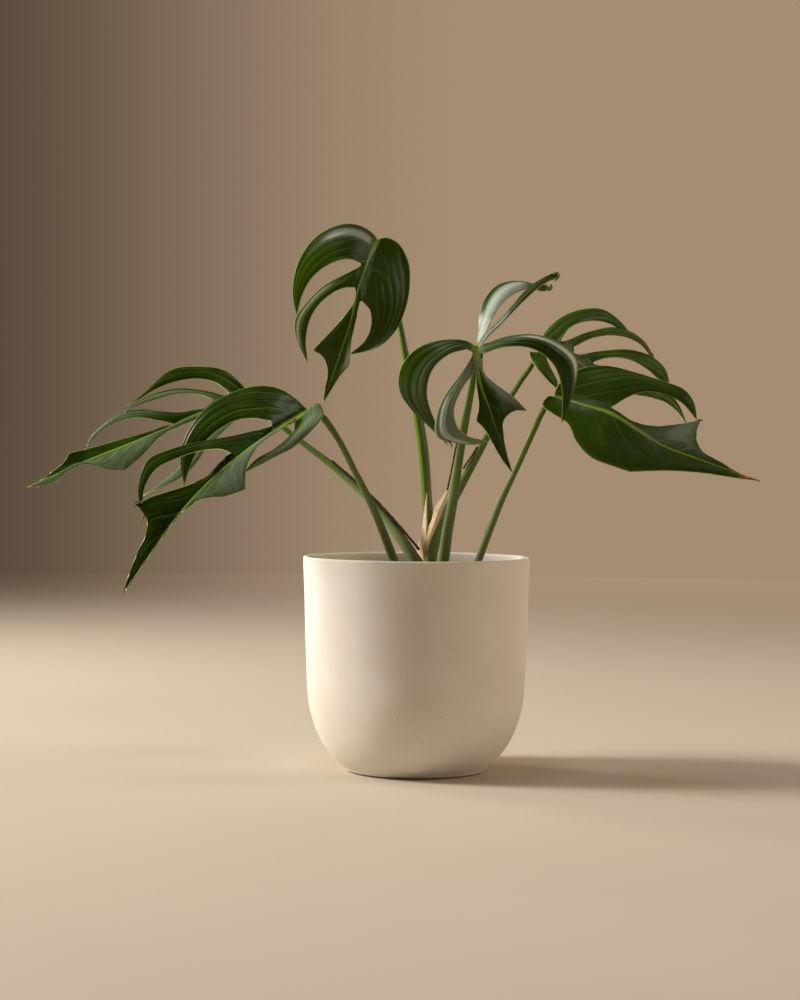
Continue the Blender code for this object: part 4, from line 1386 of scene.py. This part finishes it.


# One side of a blade. Paleness swaps the two looks, so the same patch is pale in front and green behind.
# Where a patch is painted sheen, the grey green it shows on the face is painted light too.
def leafMaterial(name, upper):
    look = leafLook
    material, tree, shader = newMaterial(name, Specular_IOR_Level=look["specular"])
    grains = grainsOf(tree, look)
    number, outward = parts(tree, placeOf(tree, "veins"))[:2]
    near, pale, gap = parts(tree, placeOf(tree, "leafFacts"))[:3]
    # fresh is the share of painted brighter green, for light shining through the blade.
    margin, dry, fresh = parts(tree, placeOf(tree, "leafEnds"))[:3]
    wander = times(tree, sums(tree, "SUBTRACT", grains["wander"], 0.5), look["veinWander"])
    number = plus(tree, number, wander)
    fromVein = times(tree, fromMiddle(tree, number), gap)
    vein = spread(tree, fromVein, *look["veinEdge"], 1.0, 0.0)
    vein = times(tree, vein, spread(tree, outward, *look["veinFade"]))
    small = fromMiddle(tree, times(tree, number, look["smallVeins"]))
    small = spread(tree, small, *look["smallEdge"], 1.0, 0.0)

    green, under = leafColours(tree, grains, vein, small, fresh)
    swap = sums(tree, "MINIMUM", pale, 1.0)
    if not upper:
        swap = sums(tree, "SUBTRACT", 1.0, swap)
    body = blendColours(tree, swap, green, under)
    if upper:
        # Painted sheen: paleness above 1 turns streaks of the face a silvery pale, for light that the glossy
        # face reflects.
        sheen = spread(tree, grains["streaks"], *look["sheenBand"])
        sheen = times(tree, spread(tree, pale, 1.0, 2.0), sheen)
        body = blendColours(tree, sheen, body, look["paintedSheen"])
    crisp = spread(tree, grains["crisp"], *look["crispBand"])
    crisp = blendColours(tree, crisp, look["dry"], look["dryDark"])
    body = moreCoats(tree, body, [
        (spread(tree, near, *look["ribEdge"]), look["rib"]),
        (spread(tree, margin, *look["marginEdge"]), look["margin"]),
        (dry, crisp),
    ])
    feed(tree, shader.inputs["Base Color"], body)

    glossy, dull = (roughnessOf(tree, grains, "fine", *look[key]) for key in ("glossy", "dull"))
    feed(tree, shader.inputs["Roughness"], blendNumbers(tree, swap, glossy, dull))
    relief = look["relief"]
    ridges = times(tree, vein, relief["vein"])
    ridges = plus(tree, ridges, times(tree, small, relief["small"]))
    if not upper:
        ridges = times(tree, ridges, -1.0)
    height = plus(tree, ridges, times(tree, grains["fine"], relief["fine"]))
    addBump(tree, shader, height, *look["bump"])
    return material


ribLook = {
    "radius": (0.0018, 0.0004),
    "thinning": 0.7,
    "risesOver": (-0.04, 0.06),
    "sink": 0.6,
    "sinkMore": 0.4,
    "sinkNarrow": 1.3,
    "sides": 14,
    "finish": {
        "grains": {"streaks": ("stalkPlace", 3.0, 3.0, 0.6, (1.4, 1.4, 0.1)),
                   "cloud": ("object", 60.0, 2.0)},
        "base": ("streaks", 0.3, 0.7, "#71902c", leafLook["rib"]),
        "coats": [("cloud", 0.4, 0.7, 0.5, "#9cb54e")],
        "roughness": ("streaks", 0.38, 0.55),
        "relief": ({"streaks": 1.0}, 0.0002, 0.6),
    },
}


# The raised midrib: a thin tapered cord that shows a little above the blade and more below it.
def ribMesh(leaf, blade):
    facts = blade.verts.layers.float_vector["leafFacts"]
    numbers = blade.verts.layers.float_vector["numbers"]
    onRib = [v for v in blade.verts if v[facts].x < leafLook["onRib"]]
    spots = sorted([(v[numbers].z, v.co.copy(), v.normal.copy()) for v in onRib], key=lambda spot: spot[0])
    first, last = ribLook["radius"]
    centres, radii = [], []
    for share, place, normal in spots:
        breadth = breadthAt(leaf, share)
        radius = first + (last - first) * share ** ribLook["thinning"]
        radius = radius * breadth * ease(*ribLook["risesOver"], share)
        sink = ribLook["sink"] + ribLook["sinkMore"] * share + ribLook["sinkNarrow"] * max(0, 1 - breadth)
        centres.append(place - normal * radius * sink)
        radii.append(radius)
    return cordMesh(centres, radii, ribLook["sides"], 0.0)


curlLook = {
    "rows": 30,
    "sides": 12,
    "finish": {
        "grains": {"streaks": ("stalkPlace", 4.0, 3.0, 0.6, (1.4, 1.4, 0.4)),
                   "cloud": ("object", 140.0, 2.0)},
        "base": ("streaks", 0.3, 0.7, "#46581d", "#7d8a45"),
        "coats": [("cloud", 0.5, 0.75, 0.6, "#a08a55")],
        "roughness": ("streaks", 0.42, 0.6),
        "relief": ({"streaks": 1.0}, 0.0002, 0.6),
    },
}


# A curl starts at the depth of the blade's nearest point.
def curlMesh(points, blade):
    line = lineThrough(points)
    nearest = min(blade, key=lambda spot: (spot - line[0]).xz.length)
    line = [place + Vector((0, nearest.y - line[0].y, 0)) for place in line]
    return taperedCord(line, points, curlLook["rows"], curlLook["sides"], 0.0)


def buildLeaves():
    materials = [leafMaterial("leafTop", True), leafMaterial("leafUnder", False),
                 finishMaterial("leafEdge", edgeFinish)]
    rib = finishMaterial("midrib", ribLook["finish"])
    tip = finishMaterial("leafCurl", curlLook["finish"])
    for name, leaf in leaves.items():
        node = "blade_" + endings[name]
        mesh = leafMesh(leaf)
        blade = [corner.co.copy() for corner in mesh.verts]
        for number, points in enumerate(leaf.get("curls", []), 1):
            makePiece("curl_%s_%d" % (name, number), curlMesh(points, blade), [tip])
        makePiece("midrib_" + endings[name], ribMesh(leaf, mesh), [rib])
        piece = makePiece("leaf_" + endings[name], mesh, materials, node)
        giveThickness(piece, leafLook["thickness"], 1, 2)


buildLeaves()
print("six leaves")

# Each stalk's points from its foot up, with its width there in millimetres as well.
stalkTip = 1.6
stalks = {
    "top": [
        (430, 582, 11, 10.0), (430, 558, 14, 10.0), (427, 500, 12, 9.2), (423, 450, 11, 9.6),
        (417, 410, 8, 8.6), (405.5, 355, 1, 6.2), (401, 330, -2, 5.2), (391, 285, -9, 5.0),
        (382, 251, -15, 5.0), (378, 240, -20, stalkTip)],
    "frontLeft": [
        (411, 607, -12, 9.0), (394, 561, -22, 8.3), (373, 508, -42, 6.8), (354, 470, -55, 5.5),
        (337.5, 438, -66, 5.2), (329.5, 426, -68, 5.8), (322, 417, -71, 6.2), (309, 411, -72, stalkTip)],
    "backLeft": [
        (432, 586, -4, 11.0), (416, 561, -9, 10.5), (380, 511, 6, 8.4), (340, 472, 24, 6.8),
        (300, 441, 38, 5.2), (283, 427.5, 43, 5.2), (264, 409, 48, 5.0), (257, 403, 50, stalkTip)],
    "front": [
        (437, 584, -5, 11.0), (443, 561, -13, 10.5), (447.5, 530, -22, 9.6), (453, 500, -31, 8.7),
        (457.5, 470, -40, 7.3), (460.5, 450, -46, 7.0), (465.5, 420, -57, 6.8), (469.5, 400, -65, 6.0),
        (473.5, 375, -74, 5.2), (475, 357, -78, 5.0), (476, 348, -82, stalkTip)],
    "backRight": [
        (431, 582, -1, 10.5), (431, 561, 0, 10.5), (435, 540, 3, 10.5), (451, 504, 15, 8.8),
        (462.5, 482, 22, 8.2), (480, 450, 30, 7.2), (489, 433, 35, 6.2), (512, 395, 46, 4.8),
        (521.5, 380, 51, 4.7), (530, 368, 56, 4.7), (534.5, 360, 57, 4.4), (536, 353, 58, stalkTip)],
    "right": [
        (462, 607, -6, 7.6), (478, 561, -10, 7.1), (489.8, 530, -14, 6.6), (502, 499, -19, 6.0),
        (513.5, 475, -23, 5.2), (525, 450, -26, 5.2), (534, 430, -28, 5.2), (543, 411, -29, 5.2),
        (549, 402, -30, 5.0), (553, 397, -33, stalkTip)],
}
stalkLook = {
    "sides": 28,
    "rows": 110,
    "ribs": 9,
    "ribHeight": 0.018,
    "wobble": 0.03,
    "phaseStep": 1.7,
    # Stalks listed here get painted light, a lime green on their left side where the light falls.
    "fresh": {"top": 1.0},
    "sage": "#8d9a6c",
    "sageBelow": (0.18, 0.31, 0.7, 0.0),
    # Painted light on the left of those stalks, and painted shade on the right side of every stalk, less on a
    # painted lit stalk.
    "litLime": "#6a8f14",
    "litLimeBand": (0.1, 0.7, 0.0, 0.75),
    "shade": "#3a5512",
    "shadeBand": (-0.9, 0.3, 0.75, 0.0),
    "shadeOnLitStalk": (0, 1, 1.0, 0.35),
    "specular": 0.35,
    "skin": {
        "grains": {"streaks": ("stalkPlace", 2.6, 4.0, 0.65, (1.6, 1.6, 0.10)),
                   "fibres": ("stalkPlace", 9.0, 3.0, 0.6, (1.0, 1.0, 0.06)),
                   "cloud": ("object", 26.0, 3.0), "freckles": ("object", 620.0, 2.0)},
        "base": ("streaks", 0.32, 0.7, "#3a5512", "#7d9736"),
        "coats": [("cloud", 0.35, 0.75, 0.7, "#55701d"), ("freckles", 0.66, 0.74, 0.12, "#a9b878")],
        "roughness": ("fibres", 0.33, 0.5),
        "relief": ({"fibres": 1.0}, 0.0002, 0.6),
    },
}


# stalkSun holds how far the skin turns to the light at the left, which places the painted light and painted
# shade on it, and whether the stalk is one that gets painted light.
def stalkMesh(name, phase):
    line = lineThrough(stalks[name])
    mesh = taperedCord(line, stalks[name], stalkLook["rows"], stalkLook["sides"], phase, stalkLook["ribs"],
                       stalkLook["ribHeight"], stalkLook["wobble"])
    sun = mesh.verts.layers.float_vector.new("stalkSun")
    mesh.normal_update()
    for corner in mesh.verts:
        corner[sun] = (-corner.normal.x, stalkLook["fresh"].get(name, 0), 0)
    return mesh


# Grey green low down, painted shade on the right side, and painted light on the left of a stalk listed as
# fresh.
def stalkMaterial():
    skin = stalkLook["skin"]
    material, tree, shader = newMaterial("stalkSkin", Specular_IOR_Level=stalkLook["specular"])
    grains = grainsOf(tree, skin)
    height = parts(tree, placeOf(tree, "object"))[2]
    sun, fresh = parts(tree, placeOf(tree, "stalkSun"))[:2]
    shade = spread(tree, sun, *stalkLook["shadeBand"])
    shade = times(tree, shade, spread(tree, fresh, *stalkLook["shadeOnLitStalk"]))
    litLime = times(tree, fresh, spread(tree, sun, *stalkLook["litLimeBand"]))
    body = moreCoats(tree, firstCoats(tree, grains, skin), [
        (spread(tree, height, *stalkLook["sageBelow"]), stalkLook["sage"]),
        (shade, stalkLook["shade"]),
        (litLime, stalkLook["litLime"]),
    ])
    finishSurface(tree, shader, grains, body, skin)
    return material


def buildStalks():
    material = stalkMaterial()
    for number, name in enumerate(stalks):
        node = "stalk_" + endings[name]
        mesh = stalkMesh(name, number * stalkLook["phaseStep"])
        makePiece("petiole_" + endings[name], mesh, [material], node)


buildStalks()
print("six stalks")

sheath = {
    "thickness": 0.0005,
    "rows": 44,
    "columns": 12,
    "ragged": 0.10,
    # The pale cream foot is partly its own colour and partly painted light over the shade low on the flaps.
    "colours": {"foot": "#ffdfae", "light": "#ffebc8", "tan": "#f2c88f", "brown": "#9a6438"},
    # Each flap has its left edge, ridge and right edge, from its foot up to its tip.
    "flaps": [
        [[(420.5, 570, 5), (418.3, 556, 4.5), (417.8, 546, 4), (420, 539, 4.5), (422, 530, 5),
          (423.4, 519, 6), (424.6, 508, 6), (425.6, 500, 6), (427, 492.5, 6)],
         [(423, 571, 4), (423, 558, 0), (425, 546, -3.5), (426.6, 538, -2), (426.6, 530, -1),
          (426.6, 520, 2), (426.8, 508, 4), (426.9, 500, 5), (427, 492.5, 6)],
         [(424, 570, 3), (425, 558, -0.5), (427, 547, -2), (428.6, 539, 0), (428, 531, 1), (427.4, 520, 4),
          (427.4, 508, 5), (427.5, 500, 5.5), (427, 492.5, 6)]],
        [[(422.6, 570, 4), (422.8, 557, 0.5), (423.2, 545, -1), (426, 535, 0), (429, 527, 1),
          (432, 520, 2), (435, 508, 4), (438.5, 502.5, 4.5), (443, 496, 5), (449, 486, 6)],
         [(424.3, 570, 3.6), (426.4, 557, -1), (428, 547, -4), (431, 536, -3.4), (433.2, 528, -2.4),
          (436.4, 519, -1), (440, 509, 1), (442.8, 503, 2.4), (445.8, 496, 3.6), (449, 486, 6)],
         [(426, 570, 3), (428, 558, -0.5), (429.8, 546, -1), (432.6, 537, 0), (434.8, 531, 0.5),
          (437.8, 524, 1), (440.6, 516, 2.5), (443.4, 509, 3.5), (446.6, 499, 5), (449, 486, 6)]],
    ],
}
margins = {
    "thickness": 0.0004,
    "rows": 60,
    "columns": 6,
    "ragged": 0.2,
    "colours": {"foot": "#4c3018", "light": "#543a22", "tan": "#382614", "brown": "#24170b"},
    "bulge": 0.4,
    # The outer edge of each dry strip, and how far it reaches in, in pixels, and nearer, in millimetres.
    "strips": [
        [[(420.2, 549, -9), (406, 532, -5.5), (373.2, 496.2, 7.5), (332.2, 459.6, 24)], (-1.5, 1.9, -2.4)],
        [[(456, 443, -45), (452.2, 463, -40), (446.8, 490, -32)], (1.4, 0.4, -0.4)],
        [[(476.8, 446, 29), (470, 457, 25), (462.4, 468, 23)], (1.6, 1.0, -1)],
        [[(486.6, 527, -13), (485, 531.5, -12), (483.4, 536, -12)], (1.6, 0.8, 0)],
    ],
}
paperLook = {
    "lineSteps": 10,
    "flatness": 0.25,
    "raggedFrom": (0.35, 0.5),
    # How closely the jags, the flutes and the pattern change along a strip, across it and between strips.
    "jags": (0.7, 2, 5),
    "jagSlice": 1.3,
    "flutter": 0.00025,
    "flutes": (0.12, 9, 3),
    "pattern": (0.08, 6, 11),
    "finish": {
        "grains": {"fibres": ("paperPlace", 3.4, 4.0, 0.65, (1.0, 0.35, 1.0)),
                   "fine": ("paperPlace", 11.0, 3.0, 0.6, (1.0, 0.12, 1.0)),
                   "blotch": ("object", 210.0, 3.0)},
        "roughness": ("fine", 0.6, 0.85),
        "relief": ({"fine": 1.0}, 0.0004, 0.8),
    },
    "lightFibres": (0.34, 0.62),
    "footFrom": (0.8, 1.1, 0.0, 0.8),
    "footTo": (1.6, 2.2, 1.0, 0.0),
    "brownEdge": (0.8, 1.0, 0.0, 0.6),
    "brownBlotches": (0.56, 0.7, 0.0, 0.3),
}


# Strips of paper, each across from its first line over its middle one to its last. paperPlace holds where
# a point is across and along, for the fibres, and its share of the width.
def paperMesh(strips, paper):
    rows, columns = paper["rows"], paper["columns"]
    mesh = bmesh.new()
    facts = mesh.verts.layers.float_vector.new("paperPlace")
    jagAlong, jagAcross, jagStrip = paperLook["jags"]
    fluteAlong, fluteAcross, fluteStrip = paperLook["flutes"]
    patternAlong, patternAcross, patternStrip = paperLook["pattern"]
    for number, lines in enumerate(strips):
        sides = [evenly(lineThrough(line, paperLook["lineSteps"]), rows) for line in lines]
        chain = []
        for i in range(rows + 1):
            chain, _ = nextRow(mesh, chain, [sides[0][0]] * (columns + 1))
            a, middle, b = (side[i] for side in sides)
            for k, corner in enumerate(chain):
                t = k / columns
                bow = a.lerp(middle, t * 2) if t < 0.5 else middle.lerp(b, t * 2 - 1)
                spot = bow.lerp(a.lerp(b, t), paperLook["flatness"])
                edge = ease(*paperLook["raggedFrom"], abs(t - 0.5)) * paper["ragged"] * (b - a).length
                torn = Vector((i * jagAlong, number * jagStrip + t * jagAcross, paperLook["jagSlice"]))
                jag = edge * noise.noise(torn)
                corner.co = spot + (b - a).normalized() * jag * (1 if t > 0.5 else -1)
                flute = noise.noise(Vector((t * fluteAcross, i * fluteAlong, number * fluteStrip)))
                corner.co.y += paperLook["flutter"] * flute
                corner[facts] = (t * patternAcross + number * patternStrip, i * patternAlong, t)
    settle(mesh)
    bmesh.ops.remove_doubles(mesh, verts=mesh.verts, dist=sameSpot)
    bmesh.ops.dissolve_degenerate(mesh, edges=mesh.edges, dist=sameSpot / 2)
    bmesh.ops.recalc_face_normals(mesh, faces=mesh.faces)
    return mesh


# Tan to light along the fibres, the foot's colour low down, and brown at one edge and in blotches. On the
# sheath the foot's pale cream is partly its own colour and partly painted light over its shade.
def paperMaterial(name, colours):
    finish = paperLook["finish"]
    material, tree, shader = newMaterial(name)
    grains = grainsOf(tree, finish)
    up, across = parts(tree, placeOf(tree, "paperPlace"))[1:3]
    low = times(tree, spread(tree, up, *paperLook["footFrom"]), spread(tree, up, *paperLook["footTo"]))
    fibres = spread(tree, grains["fibres"], *paperLook["lightFibres"])
    body = blendColours(tree, fibres, colours["tan"], colours["light"])
    body = moreCoats(tree, body, [
        (low, colours["foot"]),
        (spread(tree, across, *paperLook["brownEdge"]), colours["brown"]),
        (spread(tree, grains["blotch"], *paperLook["brownBlotches"]), colours["brown"]),
    ])
    finishSurface(tree, shader, grains, body, finish)
    return material


def buildPaper(name, strips, paper, material, node=None):
    mesh = paperMesh(strips, paper)
    piece = makePiece(name, mesh, [paperMaterial(material, paper["colours"])], node)
    giveThickness(piece, paper["thickness"])


def buildSheath():
    buildPaper("dry_sheath", sheath["flaps"], sheath, "dryPaper", "sheath")
    strips = []
    for outer, (shiftX, shiftY, nearer) in margins["strips"]:
        inner = [(x + shiftX, y + shiftY, depth + nearer) for x, y, depth in outer]
        middle = [(x + shiftX / 2, y + shiftY / 2, depth + nearer / 2 - margins["bulge"])
                  for x, y, depth in outer]
        strips.append((inner, middle, outer))
    buildPaper("dry_margins", strips, margins, "dryMargin")


buildSheath()
print("sheath and dry margins")
